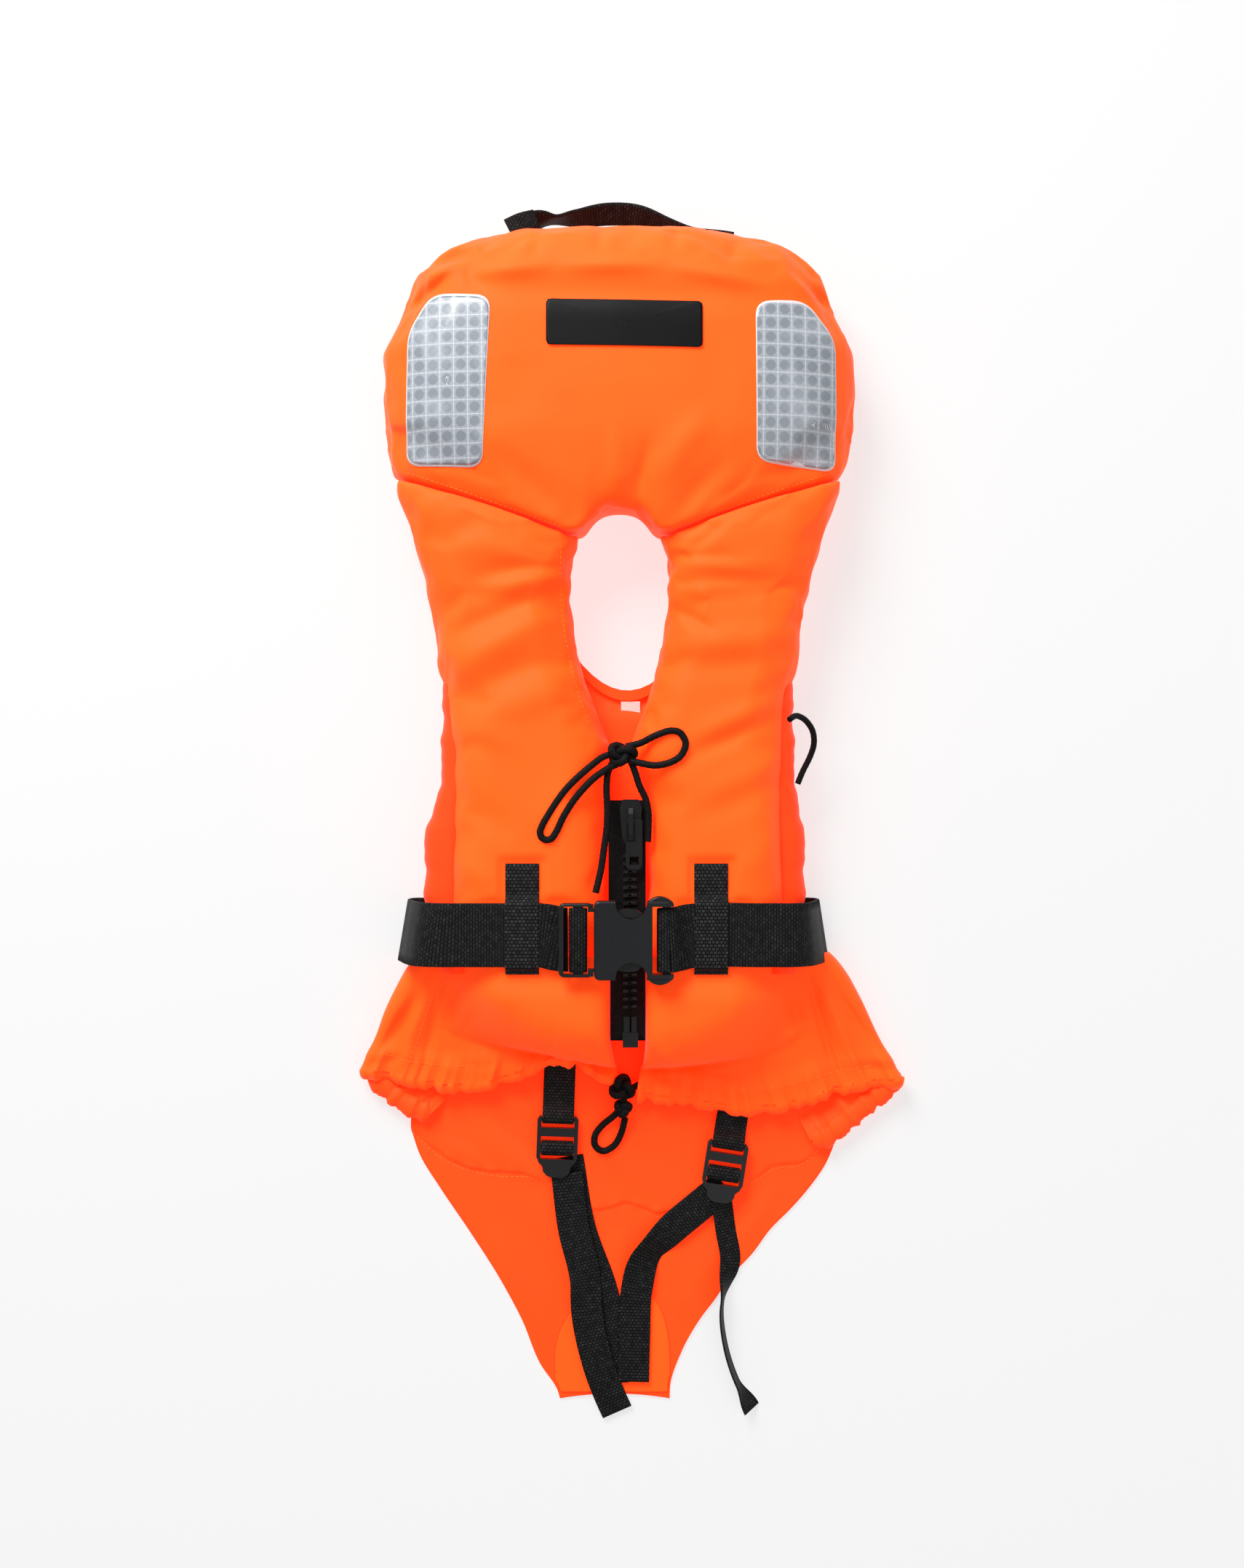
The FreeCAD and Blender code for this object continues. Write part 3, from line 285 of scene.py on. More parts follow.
def web(name, path, width, thick, side=None, roll=None):
    """Flat webbing along a path of points in metres: a strip with round edges and UVs in metres."""
    corner = np.linspace(0, pi, 5)
    half, r = width / 2, thick / 2
    flat = np.linspace(-half + r, half - r, 9)
    right = np.stack([half - r + r * np.sin(corner), r * np.cos(corner)], 1)
    top = np.stack([flat, np.full(9, r)], 1)
    ring = np.concatenate([top[:-1], right, -top[:-1], -right])
    points = carried(path, ring, side, roll)
    u = np.concatenate([ring[:, 0], ring[:1, 0]])
    uv = np.stack(np.broadcast_arrays(u[None, :], lengths(path)[:, None]), -1)
    return grid_piece(name, points, close_v=True, cap=True, uv=uv)


def surface_under(pieces):
    """Function that gives the highest point of some pieces under (x, y), or None."""
    graph = bpy.context.evaluated_depsgraph_get()
    trees = [BVHTree.FromObject(piece, graph) for piece in pieces]

    def drop(x, y):
        hits = [tree.ray_cast(Vector((x, y, 0.3)), Vector((0, 0, -1)))[0] for tree in trees]
        heights = [hit.z for hit in hits if hit is not None]
        return max(heights) if heights else None

    return drop


def stitches(name, lines, drop, body, material="thread_orange", slot="shell_fabric", pitch=3.2, length=2.3,
             radius=0.32):
    """Stitches along lines of (x, y) in mm, each a small spindle that lies on the surface below. A stitch is
    left out where there is no surface or a step in it. Lengths are in mm."""
    steepest = 2 * MM
    spindles = []
    for line in lines:
        path = smooth_path([(x, y, 0) for x, y in line], 1 * MM)
        s = lengths(path)
        for at in np.arange(pitch / 2, s[-1] / MM - length / 2, pitch) * MM:
            ends = [[np.interp(at + k * length * MM / 2, s, path[:, j]) for j in (0, 1)] for k in (-1, 1)]
            z = [drop(x, y) for x, y in ends]
            if None not in z and abs(z[0] - z[1]) < steepest:
                spindles.append([ends[0] + [z[0]], ends[1] + [z[1]]])
    ends = np.array(spindles)
    if not len(ends):
        raise RuntimeError(name + ": no stitch landed on the surface")
    t = np.array([0.0, 0.18, 0.5, 0.82, 1.0])
    size = np.array([0.05, 0.8, 1.0, 0.8, 0.05]) * radius * MM
    rings, sides = len(t), 6
    angle = np.linspace(0, 2 * pi, sides, endpoint=False)
    axis = ends[:, 1] - ends[:, 0]
    axis /= np.linalg.norm(axis, axis=1)[:, None]
    across = np.cross(axis, [0, 0, 1.0])
    across /= np.linalg.norm(across, axis=1)[:, None]
    up = np.cross(across, axis)
    core = ends[:, None, 0] + t[None, :, None] * (ends[:, 1] - ends[:, 0])[:, None]
    cos, sin = np.cos(angle)[None, None, :, None], np.sin(angle)[None, None, :, None]
    ring = cos * across[:, None, None] + sin * up[:, None, None]
    points = core[:, :, None] + ring * size[None, :, None, None]
    first = (np.arange(len(ends)) * rings * sides)[:, None, None]
    i, j = np.meshgrid(np.arange(rings - 1), np.arange(sides), indexing="ij")
    near, far, beside = i * sides, (i + 1) * sides, (j + 1) % sides
    quad = np.stack([near + j, far + j, far + beside, near + beside], -1).reshape(1, -1, 4)
    mesh = bpy.data.meshes.new(name)
    mesh.from_pydata(points.reshape(-1, 3).tolist(), [], (quad + first).reshape(-1, 4).tolist())
    mesh.shade_smooth()
    return dress(link(name, mesh), material, body, slot)


# ---- Materials -----------------------------------------------------------------------------
class Shader:
    """A material's node tree, with one short call for each node."""

    def __init__(self, name, **values):
        self.material = bpy.data.materials.new(name)
        self.material.use_nodes = True
        self.tree = self.material.node_tree
        self.out = self.tree.nodes["Principled BSDF"]
        for key, value in values.items():
            self.out.inputs[key.replace("_", " ")].default_value = value

    def node(self, kind, inputs=None, **settings):
        node = self.tree.nodes.new("ShaderNode" + kind)
        for key, value in settings.items():
            setattr(node, key, value)
        for key, value in (inputs or {}).items():
            self.put(value, node.inputs[key])
        return node

    def put(self, value, socket):
        if isinstance(value, bpy.types.NodeSocket):
            self.tree.links.new(value, socket)
        else:
            socket.default_value = value

    def math(self, operation, *values):
        node = self.node("Math", operation=operation)
        for k, value in enumerate(values):
            self.put(value, node.inputs[k])
        return node.outputs[0]

    def mix(self, factor, a, b):
        node = self.node("Mix", data_type="RGBA")
        for key, value in ((0, factor), (6, a), (7, b)):
            self.put(value, node.inputs[key])
        return node.outputs[2]

    def coords(self, kind="Object", scale=None):
        out = self.node("TexCoord").outputs[kind]
        if scale:
            out = self.node("Mapping", {"Vector": out, "Scale": scale}).outputs[0]
        return out

    def bump(self, height, strength, distance):
        node = self.node("Bump", {"Height": height, "Strength": strength, "Distance": distance})
        self.put(node.outputs[0], self.out.inputs["Normal"])


def colour(r, g, b):
    return (r, g, b, 1.0)


def orange_fabric(name, tint, painted_glow, settings):
    """Bright woven nylon: slow colour drift, a fine weave, and the fluorescent dye's brightness as a painted
    glow (emission) that keeps the shaded folds red.
    """
    s = Shader(name, Roughness=0.62, Specular_IOR_Level=0.22, Sheen_Weight=0.12, Sheen_Roughness=0.4)
    # painted light: a constant red emission glow, the same in light and shade, so the folds stay red
    s.out.inputs["Emission Color"].default_value = colour(*settings.painted_glow_colour)
    s.out.inputs["Emission Strength"].default_value = settings.painted_glow * painted_glow
    place = s.coords()
    weave = {"Vector": place, "Scale": 420.0, "Distortion": 1.2, "Detail": 1.0}
    drift = s.node("TexNoise", {"Vector": place, "Scale": 16.0, "Detail": 3.0}).outputs[0]
    base = [c * k for c, k in zip(settings.fabric_colour, tint)]
    darker = [c * k for c, k in zip(base, (0.97, 0.82, 0.7))]
    s.put(s.mix(drift, colour(*base), colour(*darker)), s.out.inputs["Base Color"])
    warp = s.node("TexWave", weave).outputs[1]
    weft = s.node("TexWave", weave, bands_direction="Y").outputs[1]
    grain = s.node("TexNoise", {"Vector": place, "Scale": 260.0, "Detail": 2.0}).outputs[0]
    s.bump(s.math("ADD", s.math("MULTIPLY", warp, weft), grain), 0.22, 0.0003)


def woven_black(name, cell, yarn_highlight, base=0.003, rough=0.55):
    """Black webbing: rows of short raised yarns with painted highlights on them, from UVs in metres."""
    s = Shader(name, Roughness=rough, Specular_IOR_Level=0.11)
    place = s.coords("UV")
    bricks = s.node("TexBrick", {"Vector": place, "Scale": 1.0, "Brick Width": cell[0], "Row Height": cell[1],
                                 "Mortar Size": cell[1] * 0.24, "Mortar Smooth": 0.6,
                                 "Color1": colour(1, 1, 1),
                                 "Color2": colour(0.4, 0.4, 0.4), "Mortar": colour(0, 0, 0)}, offset=0.5)
    # painted highlight: the raised yarns are lightened, unevenly by noise, and the gaps between them keep the
    # black
    highlight_noise = s.node("TexNoise", {"Vector": s.coords("UV", (260, 260, 1)), "Scale": 1.0,
                               "Detail": 3.0}).outputs[0]
    bright = s.math("MULTIPLY", s.math("POWER", highlight_noise, 1.5), bricks.outputs[0])
    tone = s.mix(bright, colour(base, base, base * 1.05), colour(yarn_highlight, yarn_highlight, yarn_highlight * 1.04))
    s.put(tone, s.out.inputs["Base Color"])
    s.bump(bricks.outputs[0], 0.5, 0.0005)


def plain(name, tint, rough, grain, strength, **more):
    """A moulded or smooth surface: one colour that drifts a little, and a fine grain."""
    s = Shader(name, Roughness=rough, **more)
    place = s.coords()
    noise = s.node("TexNoise", {"Vector": place, "Scale": grain, "Detail": 4.0}).outputs[0]
    lift = [min(1.0, c * 1.5 + 0.002) for c in tint]
    s.put(s.mix(noise, colour(*tint), colour(*lift)), s.out.inputs["Base Color"])
    s.bump(noise, strength, 0.0003)


def reflective(name):
    """Silver tape under clear film: grey discs between a light lattice with a small star at each crossing."""
    cell = 8.5 * MM
    s = Shader(name, Roughness=0.32, Specular_IOR_Level=0.6, Coat_Weight=0.5, Coat_Roughness=0.15)
    place = s.node("SeparateXYZ", {"Vector": s.coords("UV", (1 / cell, 1 / cell, 1))})

    def offset(axis):
        return s.math("ABSOLUTE", s.math("SUBTRACT", s.math("FRACT", place.outputs[axis]), 0.5))

    x, y = offset(0), offset(1)
    near, far = s.math("MINIMUM", x, y), s.math("MAXIMUM", x, y)
    line = s.math("LESS_THAN", near, 0.035)
    star = s.math("LESS_THAN", s.math("ADD", s.math("MULTIPLY", near, 2.6), far), 0.2)
    bud = s.math("LESS_THAN", s.math("ADD", s.math("MULTIPLY", near, 1.4),
                                     s.math("ABSOLUTE", s.math("SUBTRACT", far, 0.3))), 0.1)
    lattice = s.math("MAXIMUM", line, s.math("MAXIMUM", star, bud))
    cx, cy = s.math("SUBTRACT", 0.5, x), s.math("SUBTRACT", 0.5, y)
    radius = s.math("SQRT", s.math("ADD", s.math("MULTIPLY", cx, cx), s.math("MULTIPLY", cy, cy)))
    disc = s.math("LESS_THAN", radius, 0.36)
    ground = s.mix(disc, colour(0.40, 0.43, 0.48), colour(0.27, 0.30, 0.34))
    tone = s.mix(s.math("MULTIPLY", lattice, 0.75), ground, colour(0.68, 0.71, 0.75))
    haze = s.node("TexNoise", {"Vector": s.coords(), "Scale": 45.0, "Detail": 4.0}).outputs[0]
    veil = s.node("MapRange", {"Value": haze, "From Min": 0.5, "From Max": 0.8, "To Max": 0.5}).outputs[0]
    s.put(s.mix(veil, tone, colour(0.66, 0.70, 0.75)), s.out.inputs["Base Color"])
    s.bump(haze, 0.25, 0.002)


class FinishSettings(bpy.types.PropertyGroup):
    """Colours of the jacket's fabrics."""

    fabric_colour: FloatVectorProperty(
        name="Fabric", description="Colour of the orange nylon in full light", subtype="COLOR",
        default=(1.0, 0.155, 0.008), min=0, max=1)
    # colour of the painted glow: emission that keeps the shaded folds red
    painted_glow_colour: FloatVectorProperty(
        name="Glow colour", description="Colour that the fluorescent dye gives back in the folds",
        subtype="COLOR",
        default=(1.0, 0.018, 0.002), min=0, max=1)
    # strength of the painted glow, which shines the same in light and shade
    painted_glow: FloatProperty(
        name="Glow", description="How strongly the fluorescent dye shines", default=0.6, min=0, max=3)
    # strength of the painted highlights on the webbing's raised yarns
    web_yarn_highlight: FloatProperty(
        name="Webbing fleck", description="Brightness of the webbing's raised yarns", default=0.07, min=0,
        max=1)


class JACKET_OT_finishes(bpy.types.Operator):
    """Makes every material of the jacket"""

    bl_idname = "jacket.finishes"
    bl_label = "Finishes"

    def execute(self, context):
        settings = context.scene.jacket_finish
        orange_fabric("nylon_orange", (1, 1, 1), 1.0, settings)
        orange_fabric("nylon_shaded", (1, 0.66, 0.8), 1.1, settings)
        # darker copy of the nylon: painted shade for the side panels under the arm
        orange_fabric("nylon_side_shaded", (0.98, 0.5, 0.6), 1.0, settings)
        # the thread gets the same kind of painted glow: a weak red emission that stays in shade
        plain("thread_orange", (0.95, 0.16, 0.01), 0.6, 900.0, 0.2, Emission_Color=colour(1.0, 0.05, 0.004),
              Emission_Strength=0.3 * settings.painted_glow)
        # the webbings, zip tape and cord get painted highlights on their yarns; the keepers' are stronger so
        # they stand out from the belt
        woven_black("webbing_wide", (0.0026, 0.0017), settings.web_yarn_highlight)
        woven_black("webbing_narrow", (0.0024, 0.0019), settings.web_yarn_highlight * 1.1)
        woven_black("webbing_keeper", (0.0024, 0.0021), settings.web_yarn_highlight * 1.7)
        woven_black("zip_tape_weave", (0.0012, 0.0010), 0.03)
        woven_black("cord_weave", (0.0012, 0.0012), 0.04)
        plain("thread_black", (0.012, 0.012, 0.012), 0.5, 900.0, 0.3)
        plain("plastic_satin", (0.0065, 0.007, 0.008), 0.3, 420.0, 0.12, Specular_IOR_Level=0.36)
        plain("plastic_gloss", (0.006, 0.006, 0.0065), 0.26, 300.0, 0.08, Specular_IOR_Level=0.36)
        plain("badge_black", (0.0035, 0.0033, 0.0035), 0.45, 700.0, 0.15, Specular_IOR_Level=0.16)
        plain("label_satin", (0.85, 0.62, 0.58), 0.55, 800.0, 0.15)
        plain("patch_edge", (0.62, 0.65, 0.68), 0.3, 600.0, 0.1)
        reflective("reflective_film")
        return {"FINISHED"}


# ---- Padded panels -------------------------------------------------------------------------
LEFT_FOLDS = [
    (-122, 163, -46, 170, 9, 1.3), (-43, 163, -104, 144, 6, -1.2), (-41, 154, -92, 134, 8, 1.6),
    (-43, 141, -118, 110, 7, -1.6), (-42, 128, -116, 88, 9, 2.0), (-35, 106, -108, 73, 8, -1.5),
    (-32, 84, -94, 60, 10, 1.3), (-113, 100, -112, 78, 4, -2.2), (-112, 60, -62, 43, 9, 1.0),
    (-110, 18, -70, -12, 10, -1.2), (-24, 30, -60, -8, 12, 0.8), (-110, -24, -84, -40, 7, 0.9),
]
RIGHT_FOLDS = [
    (24, 132, 52, 113, 3.5, -1.8), (30, 137, 112, 138, 8, 1.5), (32, 149, 116, 141, 6, -1.5),
    (28, 174, 76, 156, 5, -1.2), (30, 165, 90, 152, 7, 1.1), (25, 106, 106, 113, 9, 1.4),
    (22, 92, 100, 96, 8, -1.2), (100, 69, 26, 34, 6, -1.7), (100, 76, 34, 48, 8, 1.7),
    (98, 27, 34, -2, 9, -1.2), (98, 38, 40, 10, 9, 1.0), (96, -10, 60, -36, 10, 0.8),
    (106, 128, 98, 118, 4, -2),
]
COLLAR_FOLDS = [
    (-30, 197, -84, 228, 9, -2.0), (-46, 210, -92, 236, 9, 1.3), (10, 214, 50, 246, 8, 1.6),
    (3, 208, 12, 236, 4, -1.6),
    (-8, 208, -10, 240, 6, 1.0), (20, 198, 62, 224, 7, -1.5), (-140, 311, -104, 334, 4, -4.2),
    (-130, 322, -98, 339, 6, 3.4), (-122, 342, -96, 346, 5, -2.5),
    (94, 336, 126, 311, 4, -4.0), (90, 334, 116, 318, 6, 3.0), (94, 344, 118, 330, 5, -2.2),
    (-100, 329, -45, 333, 5, 1.7), (-45, 333, 20, 333, 5, 1.8), (20, 333, 88, 321, 5, 1.7),
    (-110, 320, 90, 314, 8, -1.0),
    (-60, 338, -52, 366, 4, -1.4), (-20, 342, -16, 370, 4, -1.2), (24, 342, 30, 366, 4, -1.2),
    (60, 334, 66, 360, 4, -1.3),
    (-92, 334, -86, 358, 4, -1.2), (52, 300, 56, 236, 16, -0.9), (-70, 280, -66, 240, 16, -0.8),
]


class PadSettings(bpy.types.PropertyGroup):
    """How the padded panels are inflated."""

    voxel: FloatProperty(name="Mesh size", description="Edge length of the cloth's mesh", default=0.0048,
                         min=0.002, max=0.02, unit="LENGTH")
    pressure: FloatProperty(name="Pressure", description="Air pressure that fills the covers", default=4.0,
                            min=0, max=20)
    frames: IntProperty(name="Frames", description="Length of the cloth simulation", default=16, min=2,
                        max=60)
    excess: FloatProperty(name="Excess fabric", description="How much larger the fabric is than its foam",
                          default=0.035, min=0, max=0.2, subtype="FACTOR")
    creases: FloatProperty(name="Creases", description="Strength of the soft folds", default=1.9, min=0,
                           max=4)
    most: FloatProperty(name="Greatest puff", description="Farthest that the fabric stands off its foam",
                        default=0.0035, min=0, max=0.02, unit="LENGTH")


def inflated(piece, pinned, settings):
    """Inflates a closed cover by cloth simulation, its seams pinned, and keeps it near its foam."""
    mesh = piece.data
    rest = coordinates(mesh)
    group = piece.vertex_groups.new(name="seams")
    group.add(np.flatnonzero(pinned(rest)).tolist(), 1.0, "REPLACE")
    cloth = piece.modifiers.new("Cloth", "CLOTH")
    set_up = cloth.settings
    set_up.quality = 5
    set_up.mass = 0.2
    set_up.tension_stiffness = set_up.compression_stiffness = 18
    set_up.shear_stiffness = 8
    set_up.bending_stiffness = 0.4
    set_up.use_pressure = True
    set_up.uniform_pressure_force = settings.pressure
    set_up.vertex_group_mass = "seams"
    set_up.shrink_min = -settings.excess
    set_up.effector_weights.gravity = 0.0
    cloth.collision_settings.use_collision = False
    cloth.point_cache.frame_start = 1
    cloth.point_cache.frame_end = settings.frames
    for step in range(1, settings.frames + 1):
        bpy.context.scene.frame_set(step)
    graph = bpy.context.evaluated_depsgraph_get()
    moved = coordinates(piece.evaluated_get(graph).data) - rest
    piece.modifiers.clear()
    piece.vertex_groups.clear()
    bpy.context.scene.frame_set(1)
    size = np.linalg.norm(moved, axis=1)[:, None]
    keep = settings.most * np.tanh(size / settings.most) / np.maximum(size, 1e-9)
    set_coordinates(mesh, rest + moved * keep)


def yoke(x):
    """Height in y of the slanted seams between collar and front panels, in metres."""
    rise = np.clip((np.abs(x / MM + 7) - 33) / 100, 0, 1.15)
    return (176 + 36 * rise) * MM


def padded_piece(name, node, offset, pinned, settings, table, material, body, nodes, after=None, voxel=None):
    """Fabric cover of a foam pad: the foam's skin remeshed, moved out, inflated, smoothed and folded."""
    piece = link(name, frame["nodes"][node].data.copy())
    remesh = piece.modifiers.new("Even", "REMESH")
    remesh.mode = "VOXEL"
    remesh.voxel_size = voxel or settings.voxel
    mesh = baked(piece)
    set_coordinates(mesh, coordinates(mesh) + vertex_normals(mesh) * offset)
    inflated(piece, pinned, settings)
    subdivided(piece)
    mesh = piece.data
    points = coordinates(mesh)
    lifted = ease(vertex_normals(mesh)[:, 2] * 2)
    points[:, 2] += folds(points, table) * lifted * settings.creases
    if after is not None:
        points = after(points)
    set_coordinates(mesh, points)
    dress(piece, material, None, "shell_fabric", *nodes)
    if isinstance(body, str):
        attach(piece, body)
    else:
        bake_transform(piece)
    return piece


def yoke_sides(points):
    """The gusset at the ends of the yoke seams stands out a little past the covers."""
    x, y = points[:, 0] - CENTRE_X, points[:, 1]
    corner_y, most = 217 * MM, 8.5 * MM
    reach = np.where(y > corner_y, 28 * MM, 48 * MM)
    outer = ease((np.abs(x) - 70 * MM) / (55 * MM))
    points[:, 0] += np.sign(x) * most * outer * np.exp(-((y - corner_y) / reach) ** 2)
    return points


def shape_panel(points):
    """Front panel: presses in the belt and its keepers, keeps the lower end under the skirt, and slants the
    upper end to the yoke seams."""
    x, y, z = points.T
    belt = ease((y - BELT_LOW + 9 * MM) / (9 * MM)) * ease((BELT_HIGH + 9 * MM - y) / (9 * MM))
    under_skirt = ease((BELT_MID - y) / (16 * MM))
    top = PANEL_TOP - 0.4 * MM - 3.5 * MM * under_skirt
    limit = np.where(belt + under_skirt > 0.02, top + (1 - np.maximum(belt, under_skirt)) * 6 * MM, 1.0)
    points[:, 2] = np.where(z > limit, limit + (z - limit) * 0.05, z)
    for side in (-1, 1):
        cover = skirt_height(x, y, (BELT_LOW + 6 * MM - y) / (85 * MM), np.abs(x), side)[0] - 3 * MM
        hidden = (y < BELT_LOW + 2 * MM) & (x * side > 0)
        points[:, 2] = np.where(hidden, np.minimum(points[:, 2], cover), points[:, 2])
    pull = ease((y - (SEAM_Y - 62 * MM)) / (60 * MM))
    points[:, 1] = y + (yoke(x) - SEAM_Y) * pull
    half = 11 * MM
    for word in ("left", "right"):
        low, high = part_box("belt_loop_" + word)
        away = np.maximum(np.abs(x - (low.x + high.x) / 2) - half, np.maximum(y - high.y, low.y - y))
        limit = PANEL_TOP - 0.2 * MM + 7 * MM * ease(away / half)
        points[:, 2] = np.where((points[:, 2] > limit) & (away < half), limit, points[:, 2])
    return yoke_sides(points)


def shape_collar(points):
    """Collar: slants its lower end to the yoke seams and sinks it a little into them."""
    x, y = points[:, 0], points[:, 1]
    pull = ease(((SEAM_Y + 62 * MM) - y) / (60 * MM))
    points[:, 1] = y + (yoke(x) - SEAM_Y) * pull
    return yoke_sides(points)


class JACKET_OT_pads(bpy.types.Operator):
    """Makes the padded collar, front panels and back panel"""

    bl_idname = "jacket.pads"
    bl_label = "Padded panels"

    def execute(self, context):
        settings = context.scene.jacket_pads

        def collar_pins(p):
            return (p[:, 1] < SEAM_Y + 5 * MM) | (p[:, 2] < 22 * MM)

        def panel_pins(p):
            return (p[:, 1] > SEAM_Y - 6 * MM) | (p[:, 2] < 26 * MM) | (p[:, 1] < BELT_LOW)

        padded_piece("collar_shell", "collar_foam", 1.2 * MM, collar_pins, settings, COLLAR_FOLDS,
                     "nylon_orange",
                     "collar", ("collar_cover", "collar_foam"), shape_collar)
        for side, table in (("left", LEFT_FOLDS), ("right", RIGHT_FOLDS)):
            padded_piece("front_panel_" + side, "front_foam_" + side, 1.0 * MM, panel_pins, settings, table,
                         "nylon_orange", COLLAR_BEND, ("front_cover_" + side, "front_foam_" + side),
                         shape_panel)
        padded_piece("back_panel", "back_foam", 1.4 * MM, lambda p: p[:, 2] < 6 * MM, settings, [],
                     "nylon_shaded",
                     "jacket", ("back_cover", "back_foam"), voxel=0.0034)
        return {"FINISHED"}


# ---- Skirt, side panels and flap -----------------------------------------------------------
HEM_LEFT = [(-174, -166), (-160, -167), (-140, -171), (-118, -175), (-100, -175), (-78, -169.5),
            (-60, -162.5),
            (-43, -157), (-31, -161), (-18, -168), (-7, -171)]
HEM_RIGHT = [(3, -181), (20, -182), (34, -183), (49, -186), (72, -189.5), (100, -186.5), (131, -177),
             (150, -173), (174, -172)]


SKIRT_EDGES = {-1: ((-12.6, -8.5), (-121, -166.5)), 1: ((9.0, 4.5), (113, 166.5))}   # x of (top, hem), mm
GATHER_SEEDS = {-1: (3, 11), 1: (8, 14)}
ROLL_TURN = 1.35 * pi        # how far the casing's fabric goes round its cord


class SkirtSettings(bpy.types.PropertyGroup):
    """Fabric below the belt."""

    casing: FloatProperty(name="Casing", description="Radius of the rolled hem that holds the cord",
                          default=0.0062,
                          min=0.001, max=0.02, unit="LENGTH")
    gather: FloatProperty(name="Gathers", description="Height of the gathers at the hem", default=0.0022,
                          min=0, max=0.01, unit="LENGTH")
    spacing: FloatProperty(name="Gather spacing", description="Distance between gathers", default=0.024,
                           min=0.005, max=0.1, unit="LENGTH")
    cloth: FloatProperty(name="Cloth", description="Thickness of the nylon", default=0.0008, min=0.0002,
                         max=0.003,
                         unit="LENGTH")


def gathers(along, spacing, seed):
    """Uneven waves along a hem: three sines of unlike lengths, with phases from a seed."""
    phase = np.random.default_rng(seed).uniform(0, 2 * pi, 3)
    turn = 2 * pi * along / spacing
    return (np.sin(turn + phase[0]) + 0.55 * np.sin(1.63 * turn + phase[1])
            + 0.35 * np.sin(2.9 * turn + phase[2])) / 1.5


def skirt_height(x, y, t, edge, side):
    """Height of the skirt over the foam: full above the foam's end, falling to the hem past its end and its
    sides. Gives also the foam's end, the share of the outer part, and the distance inside its side."""
    low = (28 - 12.5 * ease(t * 1.1)) * MM
    crown = (PANEL_TOP - 0.6 * MM) + 3.0 * MM * ease((BELT_LOW - 6 * MM - y) / (16 * MM))
    pad_side = (x - CENTRE_X) * -side + 108 * MM
    pad_end = through(np.abs(x) / MM, PAD_ENDS[side]) * MM
    outer_part = ease((np.abs(x - CENTRE_X) - 40 * MM) / (60 * MM))
    rise = (0.62 + 0.38 * shoulder(edge / (15 * MM))) * ease((pad_side + 12 * MM) / (52 * MM))
    round_end = shoulder((y - pad_end) / (34 * MM), 2.1)
    rise = rise * (round_end * (1 - outer_part) + ease((y - pad_end + 10 * MM) / (52 * MM)) * outer_part)
    return low + (crown - low) * rise, pad_end, outer_part, pad_side


def skirt_grid(side, hem, settings):
    """Points of one half of the skirt. u runs from the zip to the side and on round the side fold, and v from
    under the belt to the hem and on round the rolled casing. The height is skirt_height
    plus gathers that grow towards the hem."""
    along_hem, in_fold, down, in_roll = 130, 14, 90, 16
    s = np.concatenate([np.linspace(0, 1, along_hem), np.full(in_fold, 1.0)])[:, None]
    fold = np.concatenate([np.zeros(along_hem), np.linspace(0, pi, in_fold + 1)[1:]])[:, None]
    t = np.concatenate([np.linspace(0, 1, down), np.full(in_roll, 1.0)])[None, :]
    roll = np.concatenate([np.zeros(down), np.linspace(0, ROLL_TURN, in_roll + 1)[1:]])[None, :]
    (inner_top, inner_hem), (outer_top, outer_hem) = SKIRT_EDGES[side]
    flare = t ** 0.8
    inner = inner_top + (inner_hem - inner_top) * ease((t - 0.6) / 0.4)
    outer = outer_top + (outer_hem - outer_top) * flare
    across = s ** (1 - 0.12 * t)
    x = (inner + (outer - inner) * across) * MM
    r = settings.casing
    hem_x = (inner_hem + (outer_hem - inner_hem) * s ** 0.88) * MM
    stations = sorted((abs(a), b) for a, b in hem)
    hem_y = through(np.abs(hem_x) / MM, stations) * MM
    top_y = BELT_LOW + 6 * MM
    y = top_y + (hem_y + r - top_y) * t
    along = hem_x + 0 * t
    wave = gathers(along, settings.spacing, GATHER_SEEDS[side][0])
    fine = gathers(along, settings.spacing * 0.42, GATHER_SEEDS[side][1])
    edge = np.abs(x - inner * MM)
    z, pad_end, outer_part, pad_side = skirt_height(x, y, t, edge, side)
    z = z + settings.gather * wave * t ** 7 + 0.35 * settings.gather * fine * ease((t - 0.78) / 0.2)
    crease = np.exp(-((y - pad_end) / (3.2 * MM)) ** 2) * shoulder(pad_side / (20 * MM) + 0.2, 2.0)
    z = z - 3.0 * MM * crease * (1 - 0.6 * outer_part)
    crest = np.exp(-((y - (pad_end + hem_y) / 2) / (6 * MM)) ** 2)
    z = z + 2.2 * MM * crest * (1 + 0.35 * wave) * ease(t * 3 - 2)
    pts = np.stack(np.broadcast_arrays(x, y, z), -1)
    soft = folds(pts.reshape(-1, 3), SKIRT_FOLDS[side]).reshape(z.shape)
    pts[..., 2] += soft * (1 - ease((t - 0.8) / 0.2) * 0.5)
    radius = r * (1 + 0.2 * wave + 0.07 * fine)
    pts[..., 1] -= radius * np.sin(roll) - 1.6 * MM * np.abs(wave) * (t >= 1)
    pts[..., 2] -= radius * (1 - np.cos(roll))
    pts[..., 2] = np.maximum(pts[..., 2], 2.6 * MM)
    turn = np.maximum(pts[..., 2] - 3 * MM, 1 * MM) / 2
    pts[..., 0] += side * turn * np.sin(fold) * 0.9
    pts[..., 2] -= turn * (1 - np.cos(fold))
    return pts


